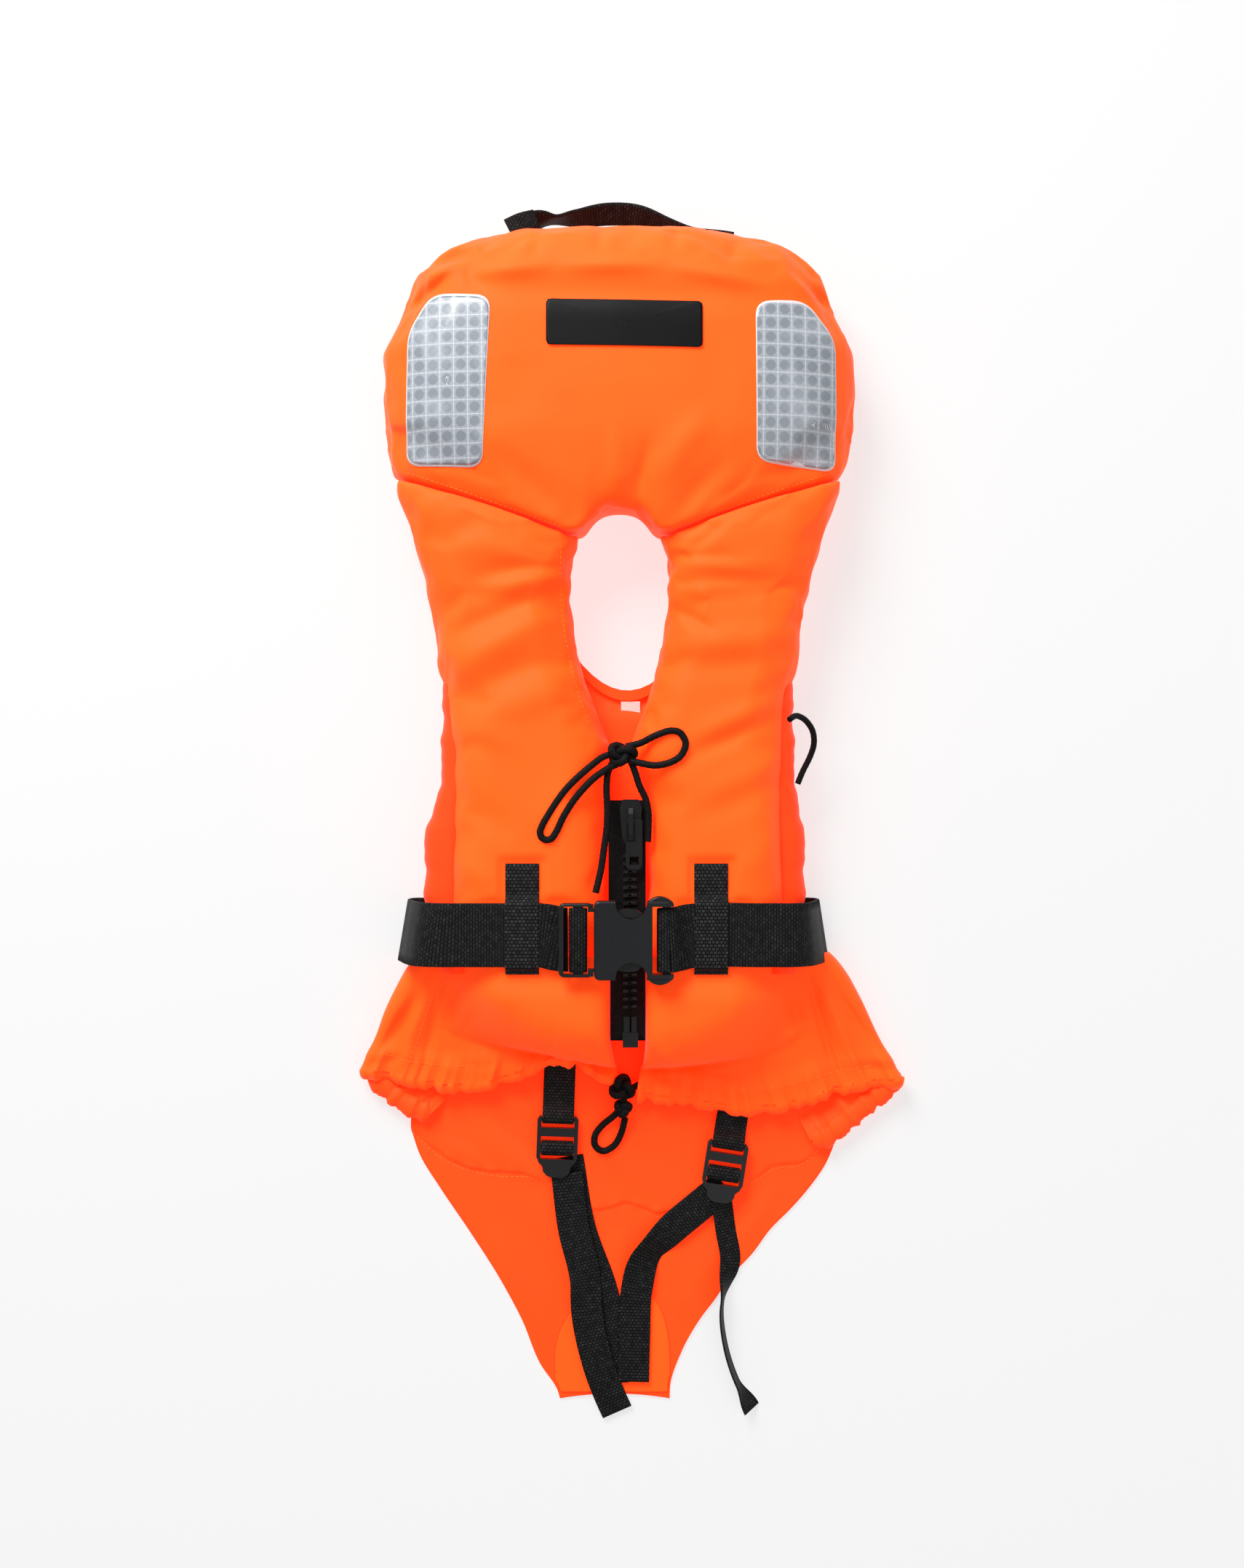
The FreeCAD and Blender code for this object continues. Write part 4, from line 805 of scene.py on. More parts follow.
# Lower end of each foam panel: y at distances from the middle, in mm.
PAD_ENDS = {-1: [(6, -158), (30, -154), (53, -149), (80, -144), (108, -138), (130, -128)],
            1: [(4, -158), (24, -157), (60, -153), (90, -148), (112, -140), (130, -130)]}
SKIRT_FOLDS = {
    -1: [(-116, -94, -134, -170, 3.0, -3.2), (-124, -98, -148, -166, 4.5, 3.4),
         (-130, -106, -160, -152, 4.5, -3.6),
         (-108, -100, -118, -136, 4.5, -3.4), (-98, -110, -112, -136, 4, 1.6),
         (-136, -108, -168, -146, 3.5, 1.8),
         (-110, -150, -76, -152, 5, 2.4), (-96, -138, -62, -142, 4, -2.0), (-58, -146, -34, -153, 4, 2.4),
         (-32, -136, -12, -150, 4, -2.4), (-140, -150, -168, -158, 4, -2.0)],
    1: [(110, -94, 132, -170, 3.0, -3.2), (118, -98, 146, -168, 4.5, 3.2), (126, -102, 160, -152, 4.5, -3.4),
        (98, -108, 110, -140, 4.5, -3.2), (96, -140, 112, -128, 4, 2.4), (134, -108, 168, -152, 3.5, 1.8),
        (30, -163, 70, -166, 4, 2.0), (11, -140, 20, -160, 3.5, -3.0), (20, -140, 30, -158, 5, 2.2),
        (140, -156, 170, -160, 4, -2.0)],
}


# The crotch flap's two edges as (y, x).
FLAP_LEFT = [(-369, -45), (-364, -46.5), (-348, -57.5), (-320, -69.5), (-293, -84), (-265, -102),
             (-237, -121), (-216, -134), (-199, -140)]
FLAP_RIGHT = [(-369, 25), (-360, 25.5), (-342, 32), (-320, 44.5), (-306, 55), (-296, 61.5), (-278, 78),
              (-262, 90), (-250, 102), (-235, 115),
              (-222, 124), (-205, 131), (-190, 134)]


def flap_edges(y):
    """Left and right edge of the crotch flap at a height y, in metres."""
    return through(y / MM, FLAP_LEFT) * MM, through(y / MM, FLAP_RIGHT) * MM


FLAP_FOLDS = [
    (-100, -200, -40, -236, 9, 1.4), (-86, -190, -60, -222, 6, -1.0), (-30, -196, 16, -236, 10, 1.4),
    (-62, -238, -30, -300, 9, 1.3),
    (-80, -246, -50, -300, 7, -0.8), (40, -210, 96, -218, 8, 1.2), (70, -252, 30, -320, 9, 1.2),
    (-8, -262, -12, -300, 8, 1.2),
    (-100, -250, -64, -320, 8, 1.0), (16, -262, 10, -312, 5, -0.8), (-120, -206, -92, -222, 5, 0.9),
    (96, -232, 64, -282, 6, 1.0),
]
FLAP_SEAM = [(-140, -198), (-119, -215), (-106, -222), (-87, -225.5), (-69, -226.5), (-45, -238),
             (-20, -250), (-3, -245.5), (19, -252),
             (45, -244), (76, -231.5), (93, -221), (107, -220), (121, -209), (131, -184)]


def flap_height(points):
    """Height of the flap's upper face: soft folds on the floor, and a second layer above the curved seam."""
    seam = through(points[:, 0] / MM, FLAP_SEAM) * MM
    layer = 1.3 * MM * ease((points[:, 1] - seam) / (1.6 * MM) + 0.5)
    gap = (points[:, 1] - seam) / (3.0 * MM)
    pucker = 0.5 * MM * np.sin(points[:, 0] / (2.1 * MM)) * np.exp(-gap ** 2)
    return np.clip(1.2 * MM + folds(points, FLAP_FOLDS) + layer + pucker, 0.9 * MM, 4.2 * MM)


def side_grid(side):
    """Fabric under the arm: bulges out between the front and back panel, more above the belt."""
    y = np.linspace(-96, 86, 90)[:, None] * MM
    a = np.linspace(-0.5 * pi, 0.5 * pi, 17)[None, :]
    most = 10 if side < 0 else 6
    bulge = (4 + most * ease((22 * MM - y) / (34 * MM)) * ease((y + 100 * MM) / (30 * MM))) * MM
    bulge = bulge + 0.9 * MM * gathers(y, 31 * MM, 21) * ease((y + 96 * MM) / (10 * MM))
    taper = 1.5 * MM * ease((80 * MM - y) / (60 * MM))
    x = CENTRE_X + side * (94 * MM + (11 * MM + bulge) * np.abs(np.cos(a)) ** 0.55 + taper)
    z = (22.5 + 17.5 * np.sin(a)) * MM + 0 * y
    return np.stack(np.broadcast_arrays(x, y, z), -1)


def area_of(piece):
    """Area of a sheet's cloth in square metres."""
    mesh = piece.data
    sizes = np.zeros(len(mesh.polygons), np.float32)
    mesh.polygons.foreach_get("area", sizes)
    return float(sizes.sum())


def as_sheet(piece, width):
    """Works out a sheet's length from its cloth area and cut width, and keeps nothing."""
    round(area_of(piece) / width, 4)


class JACKET_OT_skirt(bpy.types.Operator):
    """Makes the gathered skirt, the hem casings, the side panels and the crotch flap"""

    bl_idname = "jacket.skirt"
    bl_label = "Skirt and flap"

    def execute(self, context):
        settings = context.scene.jacket_skirt
        for side, word, hem in ((-1, "left", HEM_LEFT), (1, "right", HEM_RIGHT)):
            piece = grid_piece("skirt_front_" + word, skirt_grid(side, hem, settings), face_up=True)
            dress(piece, "nylon_orange", "jacket", "shell_fabric", "skirt_" + word, "hem_casing_" + word)
            as_sheet(piece, 0.17)
            thickened(piece, settings.cloth)
            piece = grid_piece("side_panel_cloth_" + word, side_grid(side), face_up=True)
            # the side panels wear the darker nylon copy, painted shade
            dress(piece, "nylon_side_shaded", "jacket", "shell_fabric", "side_panel_" + word)
            as_sheet(piece, 0.18)
            thickened(piece, settings.cloth, 0)
        self.back_hem(settings)
        self.flap(settings)
        return {"FINISHED"}

    def back_hem(self, settings):
        """The back casing's two visible corners: a flattened gathered roll along a short line, and the piece
        of the back's skirt between the roll and the flap."""
        half_width, half_height = 7.0 * MM, 4.6 * MM
        routes = {
            "left": ([(-150, -156, 7), (-160, -161, 7), (-161, -166, 7), (-155, -171, 7),
                      (-147, -177.5, 7), (-137, -184, 7), (-126, -188, 6.4)],
                     [(-140, -128), (-138, -134), (-132, -140), (-126, -146), (-120, -152), (-112, -160),
                      (-106, -168)]),
            "right": ([(152, -162, 7.2), (165, -167.5, 7.2), (161.5, -172.5, 7.2), (153, -178.5, 7.2),
                       (144, -186, 7), (134.5, -194, 7),
                       (124.5, -202, 6.6), (114, -205, 6)],
                      [(140, -130), (140, -136), (134, -142), (127, -148), (120, -156), (112, -164),
                       (106, -172), (100, -178)]),
        }
        for k, (word, (route, inner)) in enumerate(routes.items()):
            path = smooth_path(route, 1.2 * MM)
            s = lengths(path)
            angle = np.linspace(0, 2 * pi, 28, endpoint=False)
            wave = gathers(s, 11 * MM, 30 + k)
            ends = shoulder(np.minimum(s, s[-1] - s) / (10 * MM), 2.0)
            swell = (1 + 0.16 * wave)[:, None] * ends[:, None] ** 0.5
            ring = np.stack([half_width * np.cos(angle)[None] * swell,
                             half_height * np.sin(angle)[None] * (0.9 + 0.1 * swell) * swell], -1)
            piece = grid_piece("hem_back_" + word, carried(path, ring), close_v=True, cap=True)
            dress(piece, "nylon_shaded", "jacket", "shell_fabric", "hem_casing_back")
            far = smooth_path([(x, y, 2.4) for x, y in inner], 1 * MM)
            at = np.linspace(0, 1, len(path))
            far = np.stack([np.interp(at, np.linspace(0, 1, len(far)), far[:, j]) for j in range(3)], 1)
            t = np.linspace(0, 1, 40)[None, :, None]
            points = path[:, None] * (1 - t) + far[:, None] * t
            t = t[..., 0]
            points[..., 2] = (2.2 + 7.5 * (1 - ease(t * 1.6)) + 1.4 * wave[:, None] * (1 - t) ** 2) * MM
            piece = grid_piece("back_skirt_" + word, points, face_up=True)
            dress(piece, "nylon_shaded", "jacket", "shell_fabric")
            as_sheet(piece, 0.08)
            thickened(piece, settings.cloth)

    def flap(self, settings):
        """The flap is a sheet whose edges follow its cut; the reinforcement is a second layer at its end."""
        s = np.linspace(0, 1, 140)[:, None]
        y = np.linspace(-118, -369, 260)[None, :] * MM
        left, right = flap_edges(y)
        inward = ease((y + 190 * MM) / (60 * MM)) * 26 * MM
        x = left + inward + (right - left - 2 * inward) * s
        end = 3 * MM * ((2 * s - 1) ** 2 - 0.4) * ease((-330 * MM - y) / (39 * MM))
        pts = np.stack(np.broadcast_arrays(x, y - end, x * 0), -1)
        pts[..., 2] = flap_height(pts.reshape(-1, 3)).reshape(pts.shape[:2])
        piece = grid_piece("crotch_flap_cloth", pts, face_up=True)
        dress(piece, "nylon_shaded", "jacket", "shell_fabric", "crotch_flap")
        round(area_of(piece), 5)
        thickened(piece, settings.cloth)
        t = np.linspace(0, 1, 60)[None, :]
        y = (-304 - 62.5 * t) * MM
        left, right = flap_edges(y)
        reach = shoulder(t * 1.5, 2.0)
        low = np.maximum((-14 - 34 * reach) * MM, left + 1.5 * MM)
        high = np.minimum((8 + 17 * reach) * MM, right - 1.5 * MM)
        pts = np.stack(np.broadcast_arrays(low + (high - low) * s, y, t * 0), -1)
        pts[..., 2] = flap_height(pts.reshape(-1, 3)).reshape(pts.shape[:2]) + 0.5 * MM
        piece = grid_piece("flap_reinforcement_cloth", pts, face_up=True)
        dress(piece, "nylon_orange", "jacket", "shell_fabric", "flap_reinforcement")
        round(area_of(piece), 5)
        thickened(piece, 0.4 * MM, 1)


# ---- Belt, keepers and handle --------------------------------------------------------------
def splayed(piece, side, top, bottom):
    """Shears the end of the belt outwards over the jacket's flank, by different amounts at its two edges."""
    p = coordinates(piece.data)
    out = ease((side * p[:, 0] - 0.100) / 0.025)
    down = (BELT_HIGH - p[:, 1]) / (BELT_HIGH - BELT_LOW)
    p[:, 0] += side * out * (top + (bottom - top) * down)
    set_coordinates(piece.data, p)


def belt_route(side):
    """Belt from the top of a panel round the side and down to the floor, in mm."""
    edge = CENTRE_X / MM + side * 105.5
    return [(edge - side * 12, BELT_TOP), (edge + side * 3, 57), (edge + side * 12, 51),
            (edge + side * 18, 40),
            (edge + side * 23, 24), (edge + side * 26, 11), (edge + side * 24, 3.4), (edge + side * 14, 1.0)]


class JACKET_OT_belt(bpy.types.Operator):
    """Makes the belt, its keepers and the carry handle from woven webbing"""

    bl_idname = "jacket.belt"
    bl_label = "Belt and handle"

    def execute(self, context):
        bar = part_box("buckle_female")[1].x / MM - 4.0
        z, y_buckle, y_belt = middle("buckle_female").z / MM, middle("buckle_web").y / MM, BELT_MID / MM
        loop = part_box("belt_loop_left")[1].x / MM
        left = [(loop, y_belt, BELT_TOP - 0.1), (-70, y_belt, BELT_TOP), (-90, y_belt, BELT_TOP)]
        left += [(x, y_belt, h) for x, h in belt_route(-1)]
        piece = self.run("belt_left_web", left, 2 * MM, "jacket", "belt_left")
        splayed(piece, -1, 0.5 * MM, 7 * MM)
        right = [(bar + 1.5, y_buckle, z + 2.7), (bar - 2, y_buckle, z + 2.8),
                 (bar - 4.8, y_buckle, z + 2.2), (bar - 5.6, y_buckle, z),
                 (bar - 4.8, y_buckle, z - 2.2), (bar, y_buckle, z - 2.9),
                 (bar + 6, y_buckle + 0.4, z - 4), (bar + 13, y_belt - 0.6, 58.2),
                 (bar + 22, y_belt, BELT_TOP - 0.1), (80, y_belt, BELT_TOP)]
        right += [(x, y_belt, h) for x, h in belt_route(1)]
        piece = self.run("belt_right_web", right, 1.2 * MM, "jacket", "belt_right")
        splayed(piece, 1, -5 * MM, 1 * MM)
        cover = [(bar + 1.2, y_buckle, z + 2.7), (bar + 4, y_buckle + 0.2, z + 2.0),
                 (bar + 8, y_buckle + 0.7, z - 1.2),
                 (bar + 13, y_belt - 0.6, 60.2), (bar + 18, y_belt, 59.3), (bar + 24, y_belt, 58.9)]
        self.run("belt_right_tail", cover, 1.2 * MM, "jacket")
        x0, x1 = (corner.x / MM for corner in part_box("belt_back"))
        back = [(x0 + 6, y_belt, 0.9), (x0 + 20, y_belt, 0.85), (0, y_belt, 0.85), (x1 - 20, y_belt, 0.85),
                (x1 - 6, y_belt, 0.9)]
        self.run("belt_back_web", back, 4 * MM, "jacket", "belt_back")
        self.male_side(y_buckle, z, loop)
        for word in ("left", "right"):
            self.keeper(word)
        self.handle()
        return {"FINISHED"}

    def run(self, name, route, step, body, *nodes):
        """A run of the belt's webbing, its width along y, through points in mm."""
        piece = web(name, smooth_path(route, step), BELT_HIGH - BELT_LOW, WIDE_WEB, (0, 1, 0))
        return dress(piece, "webbing_wide", body, "webbing", *nodes)

    def male_side(self, y, z, loop):
        """The slack between keeper and buckle, and the webbing wrapped over the male buckle's bar."""
        bar, y_belt, over = middle("buckle_web").x / MM, BELT_MID / MM, BELT_TOP + 1.0
        slack = [(loop - 8, y_belt, over), (loop + 0.3, y_belt, over), (loop + 5, y_belt - 0.6, over),
                 (loop + 10, y + 0.5, over), (bar - 9.4, y, z - 5.0), (bar - 6.6, y, z - 3.6)]
        piece = self.run("belt_slack_web", slack, 0.8 * MM, "jacket", "belt_slack")
        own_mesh(piece)
        angle = np.linspace(0, 2 * pi, 40, endpoint=False)
        cos, sin = np.cos(angle), np.sin(angle)
        wrap = np.stack([bar + 4.8 * np.sign(cos) * np.abs(cos) ** 0.6, 0 * angle + y,
                         z + 2.7 * np.sign(sin) * np.abs(sin) ** 0.6], 1) * MM
        half, r = (BELT_HIGH - BELT_LOW) / 2, WIDE_WEB / 2
        corner = np.linspace(0, 2 * pi, 16, endpoint=False)
        ring = np.stack([np.sign(np.cos(corner)) * (half - r) + r * np.cos(corner), r * np.sin(corner)], 1)
        closed = np.concatenate([wrap[-1:], wrap, wrap[:1]])
        points = carried(closed, ring, (0, 1, 0))[1:-1]
        s = np.concatenate([lengths(wrap), [lengths(closed)[-1] - lengths(closed)[1]]])
        uv = np.stack(np.broadcast_arrays(np.append(ring[:, 0], ring[0, 0])[None], s[:, None]), -1)
        piece = grid_piece("buckle_wrap", points, close_u=True, close_v=True, uv=uv)
        dress(piece, "webbing_wide", "buckle_half", "webbing", "buckle_web")

    def keeper(self, word):
        """Narrow webbing sewn to the panel above and below the belt, with a row of stitches at each end."""
        low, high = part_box("belt_loop_" + word)
        rise = 1.5               # of the arch over the belt past the CAD keeper's top, in mm
        x, top, base = (low.x + high.x) / 2 / MM, high.z / MM + rise, low.z / MM + 0.6
        a, b, y0, y1 = BELT_HIGH / MM, BELT_LOW / MM, high.y / MM, low.y / MM
        path = [(x, y0, base), (x, (y0 + a) / 2, base + 0.1), (x, a + 3, base + 0.3),
                (x, a + 0.6, top - 0.9), (x, a - 4, top - 0.5),
                (x, (a + b) / 2, top - 0.4), (x, b + 4, top - 0.5), (x, b - 0.6, top - 1.0),
                (x, b - 2.4, base + 0.5), (x, y1, base)]
        piece = web("keeper_" + word, smooth_path(path, 0.8 * MM), 20.6 * MM, 1.3 * MM, (1, 0, 0))
        dress(piece, "webbing_keeper", "jacket", "webbing", "belt_loop_" + word)
        drop = surface_under([piece])
        lines = [[(x - 8.6, y0 - 2), (x + 8.6, y0 - 2)], [(x - 8.6, y1 + 1.4), (x + 8.6, y1 + 1.4)]]
        stitches("keeper_stitches_" + word, lines, drop, "jacket", "thread_black", "webbing", 2.6, 1.9, 0.3)

    def handle(self):
        """Webbing handle: its ends lie flat against the collar and its middle stands on edge and bows out."""
        low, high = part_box("carry_handle")
        mid, tip = (low.z + high.z) / 2 / MM, high.y / MM
        path = [(-73, 364, mid + 14), (-66, 368.5, mid + 12), (-58, tip - 9.5, mid + 8),
                (-50, tip - 7, mid + 3), (-33, tip - 4.8, mid),
                (-14, tip - 2.4, mid), (2, tip - 3.0, mid), (22, tip - 9.2, mid),
                (38, tip - 14.4, mid + 1), (50, tip - 17.5, mid + 3),
                (64, tip - 22, mid + 6)]
        path = smooth_path(path, 1 * MM)
        s = lengths(path) / lengths(path)[-1]
        lean = through(s, [(0, -8), (0.1, -25), (0.19, -84), (0.3, -64), (0.42, -40), (0.58, -42),
                           (0.74, -72), (0.84, -80), (1, -50)])
        piece = web("carry_handle_web", path, 15 * MM, 1.8 * MM, roll=np.radians(lean))
        dress(piece, "webbing_wide", "handle", "webbing", "carry_handle")
        tab = smooth_path([(-76, 366, mid + 20), (-68, 370, mid + 19), (-59, 373.5, mid + 15)], 0.8 * MM)
        piece = web("handle_tab", tab, 12 * MM, 1.8 * MM)
        dress(piece, "webbing_wide", "collar", "webbing")


# ---- Buckle, locks and zip -----------------------------------------------------------------
class JACKET_OT_fittings(bpy.types.Operator):
    """Gives the buckle, the ladder locks and the zip their finishes"""

    bl_idname = "jacket.fittings"
    bl_label = "Buckle, locks and zip"

    def execute(self, context):
        finishes = {
            "plastic_satin": ["buckle_female", "buckle_male", "prong_upper", "prong_lower",
                              "ladder_lock_left",
                              "ladder_lock_right"],
            "plastic_gloss": ["zip_slider", "zip_pull", "zip_box"],
            "nylon_shaded": ["neck_binding"],
            "label_satin": ["size_label"],
        }
        for material, nodes in finishes.items():
            for node in nodes:
                materials = frame["nodes"][node].data.materials
                materials.clear()
                materials.append(bpy.data.materials[material])
        for word, side in (("left", -1), ("right", 1)):
            low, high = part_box("zip_tape_" + word)
            core = middle("zip_tape_" + word)
            path = [(core.x / MM, y / MM, core.z / MM) for y in (high.y, core.y, low.y)]
            piece = web("zip_tape_cloth_" + word, smooth_path(path, 4 * MM), high.x - low.x + 2.2 * MM,
                        0.7 * MM)
            dress(piece, "zip_tape_weave", "jacket", "zip_tape", "zip_tape_" + word)
            self.teeth(word, side)
        return {"FINISHED"}

    def teeth(self, word, side):
        """Moulded teeth: a block on the tape, a neck and a head that reaches past the middle of the zip."""
        low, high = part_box("zip_teeth_" + word)
        plan = np.array([(4.3, -1.15), (1.7, -1.15), (1.2, -0.6), (-0.3, -1.05), (-1.2, -0.7), (-1.2, 0.7),
                         (-0.3, 1.05), (1.2, 0.6),
                         (1.7, 1.15), (4.3, 1.15)]) * MM
        count, pitch = len(plan), 4.9 * MM
        rows = np.arange(low.y, high.y - pitch / 2, pitch) + (0.25 + 0.25 * side) * pitch
        ring = np.stack([plan[:, 0] * side - 0.5 * MM, plan[:, 1]], 1)
        points = np.zeros((len(rows), 2, count, 3))
        points[..., 0] = ring[:, 0]
        points[..., 1] = ring[:, 1] + rows[:, None, None]
        points[:, 0, :, 2], points[:, 1, :, 2] = low.z, high.z + 0.4 * MM
        faces = []
        for low_ring in range(0, len(rows) * 2 * count, 2 * count):
            high_ring = low_ring + count
            faces.append([high_ring + j for j in range(count)])
            faces.append([high_ring - 1 - j for j in range(count)])
            for j in range(count):
                k = (j + 1) % count
                faces.append([low_ring + j, low_ring + k, high_ring + k, high_ring + j])
        mesh = bpy.data.meshes.new("zip_teeth_row_" + word)
        mesh.from_pydata(points.reshape(-1, 3).tolist(), [], faces)
        outward(mesh)
        piece = link("zip_teeth_row_" + word, mesh)
        dress(piece, "plastic_gloss", "jacket", "zip_plastic", "zip_teeth_" + word)
        bevel = piece.modifiers.new("Eased", "BEVEL")
        bevel.width, bevel.segments = 0.25 * MM, 1


# ---- Patches and badge ---------------------------------------------------------------------
def rounded_outline(corners, radius, count=7):
    """Closed outline of (x, y) points in mm, evenly spaced, with each corner rounded by an arc-like curve."""
    spacing = 2.5
    corners = np.array(corners, float)
    out = []
    for k, corner in enumerate(corners):
        before, after = corners[k - 1] - corner, corners[(k + 1) % len(corners)] - corner
        a = corner + before / np.linalg.norm(before) * radius
        b = corner + after / np.linalg.norm(after) * radius
        t = np.linspace(0, 1, count)[:, None]
        out.append((1 - t) ** 2 * a + 2 * t * (1 - t) * corner + t ** 2 * b)
    closed = np.concatenate(out + [out[0][:1]])
    s = lengths(closed)
    even = np.linspace(0, s[-1], int(s[-1] / spacing), endpoint=False)
    return np.stack([np.interp(even, s, closed[:, k]) for k in (0, 1)], 1)


def laid_patch(name, outline, drop, lift, thick):
    """Thin patch laid on a surface: rings from the outline to its middle, dropped on the surface."""
    core = outline.mean(0)
    rings = np.concatenate([np.linspace(1, 0.93, 3), np.linspace(0.88, 0.0, 16)])
    flat = core + (outline - core)[None] * rings[:, None, None]
    heights = [drop(x * MM, y * MM) for x, y in flat.reshape(-1, 2)]
    known = [h for h in heights if h is not None]
    if not known:
        raise RuntimeError(name + ": nothing lies under the patch")
    heights = np.array([min(known) if h is None else h for h in heights]).reshape(flat.shape[:2])
    raw = heights
    for _ in range(4):
        heights = (heights + np.roll(heights, 1, 1) + np.roll(heights, -1, 1)) / 3
        heights[1:-1] = (heights[:-2] + heights[1:-1] + heights[2:]) / 3
    heights = np.maximum(heights, raw)
    points = np.concatenate([flat * MM, heights[..., None] + lift], -1)
    closing = np.concatenate([flat, flat[:, :1]], 1)
    uv = (closing - outline.min(0)) * MM
    piece = grid_piece(name, points, close_v=True, uv=uv, face_up=True)
    return thickened(piece, thick, 1)


class JACKET_OT_patches(bpy.types.Operator):
    """Makes the reflective patches and the badge on the collar"""

    bl_idname = "jacket.patches"
    bl_label = "Patches and badge"

    def execute(self, context):
        drop = surface_under([bpy.data.objects["collar_shell"]])
        left = [(-137.5, 216), (-90, 213), (-84.5, 316), (-121, 318.5), (-135.5, 296)]
        right = [(76, 217), (126, 212.5), (124.5, 292), (106, 314.5), (75, 312.5)]
        for word, corners in (("left", left), ("right", right)):
            outline = rounded_outline(corners, 9)
            rim = laid_patch("patch_rim_" + word, outline, drop, 0.25 * MM, 0.25 * MM)
            dress(rim, "patch_edge", "collar", "reflective")
            inner = outline.mean(0) + (outline - outline.mean(0)) * 0.975
            film = laid_patch("patch_film_" + word, inner, drop, 0.55 * MM, 0.2 * MM)
            dress(film, "reflective_film", "collar", "reflective", "reflective_patch_" + word)
        low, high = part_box("collar_badge")
        corners = [(low.x / MM, low.y / MM + 1), (high.x / MM, low.y / MM - 0.5),
                   (high.x / MM, high.y / MM - 1),
                   (low.x / MM, high.y / MM + 0.5)]
        badge = laid_patch("badge_plate", rounded_outline(corners, 2.5), drop, 0.4 * MM, 0.9 * MM)
        dress(badge, "badge_black", "collar", "badge_rubber", "collar_badge")
        return {"FINISHED"}


# ---- Crotch straps -------------------------------------------------------------------------
class JACKET_OT_straps(bpy.types.Operator):
    """Makes the crotch straps, their tabs and their loose tails"""

    bl_idname = "jacket.straps"
    bl_label = "Crotch straps"

    def execute(self, context):
        locks = {"left": (-46, -191.6, 6.4, -2), "right": (62, -207.6, 8.2, -9)}
        for word, (x, y, z, angle) in locks.items():
            turn = np.radians(angle)
            spin = np.array([[np.cos(turn), np.sin(turn)], [-np.sin(turn), np.cos(turn)]])

            def placed(route):
                p = np.array(route, float)
                p[:, :2] = p[:, :2] @ spin + [x, y]
                return smooth_path(p, 0.6 * MM)

            across = (np.cos(turn), np.sin(turn), 0)
            tab = placed([(0, 40, 6), (0, 30, 6.5), (0, 20, 6.2), (0, 10, 5.6), (0, 3.0, z + 2.0),
                          (0, 0.6, z + 2.3),
                          (0, -1.8, z + 1.4), (0, -2.4, z), (0, -1.6, z - 1.7), (0, 2, z - 2.4), (0, 9, 4.3)])
            piece = web("strap_tab_web_" + word, tab, NARROW_WIDTH, NARROW_WEB, across)
            dress(piece, "webbing_narrow", "jacket", "narrow_webbing", "strap_tab_" + word)
            over = placed([(0, -14.4, z - 1.6), (0, -14.5, z + 1.2), (0, -15.6, z + 2.6),
                           (0, -18.5, z + 2.9), (0, -21.2, z + 2.6),
                           (0, -22.4, z + 1.2), (0, -22.4, z - 1.6)])
            piece = web("lock_web_strap_" + word, over, NARROW_WIDTH, NARROW_WEB, across)
            dress(piece, "webbing_narrow", "lock_" + word, "narrow_webbing", "lock_web_" + word)
        routes = {
            "crotch_strap_left": [(-40, -216, 3.2), (-32, -262, 3.0), (-18, -302, 3.0), (-12, -330, 3.2),
                                  (-11, -360, 3.4)],
            "crotch_strap_right": [(60, -234, 4.6), (44, -247, 4.6), (24, -264, 4.8), (9, -281, 5.2),
                                   (4, -300, 4.8), (2.5, -330, 4.6), (1.8, -359, 4.6)],
            "strap_tail_left": [(-40.5, -226, 6.0), (-36, -262, 6.2), (-29, -291, 6.4), (-27.5, -316, 6.4),
                                (-21, -346, 6.0), (-12, -371, 3.4), (-8.5, -379, 2.2)],
            "strap_tail_right": [(58, -243, 4.8), (60.5, -262, 4.0), (63.5, -282, 4.4), (60.5, -297, 5.4),
                                 (58, -312, 5.6), (60, -334, 5.2), (67, -357, 5.0), (77.2, -376.5, 4.4)],
        }
        rolls = {
            "crotch_strap_left": lambda s: 0.0 * s,
            "crotch_strap_right": lambda s: 0.5 * np.exp(-((s - 0.42) / 0.09) ** 2),
            "strap_tail_left": lambda s: 0.25 * np.exp(-((s - 0.45) / 0.05) ** 2),
            "strap_tail_right": lambda s: 0.35 + 1.05 * ease((s - 0.28) / 0.2) - 0.7
            * ease((s - 0.86) / 0.14),
        }
        widths = {"strap_tail_right": 14 * MM}
        for name, route in routes.items():
            path = smooth_path(route, 1.2 * MM)
            s = lengths(path) / lengths(path)[-1]
            piece = web(name + "_web", path, widths.get(name, NARROW_WIDTH), NARROW_WEB, roll=rolls[name](s))
            points = coordinates(piece.data)
            points[:, 2] = np.maximum(points[:, 2], 0.4 * MM)
            set_coordinates(piece.data, points)
            dress(piece, "webbing_narrow", "jacket", "narrow_webbing", name)
        return {"FINISHED"}


# ---- Cords ---------------------------------------------------------------------------------
KNOT_SWELL = 1.22        # a knot's cord is drawn thicker than the free cord, so its turns touch
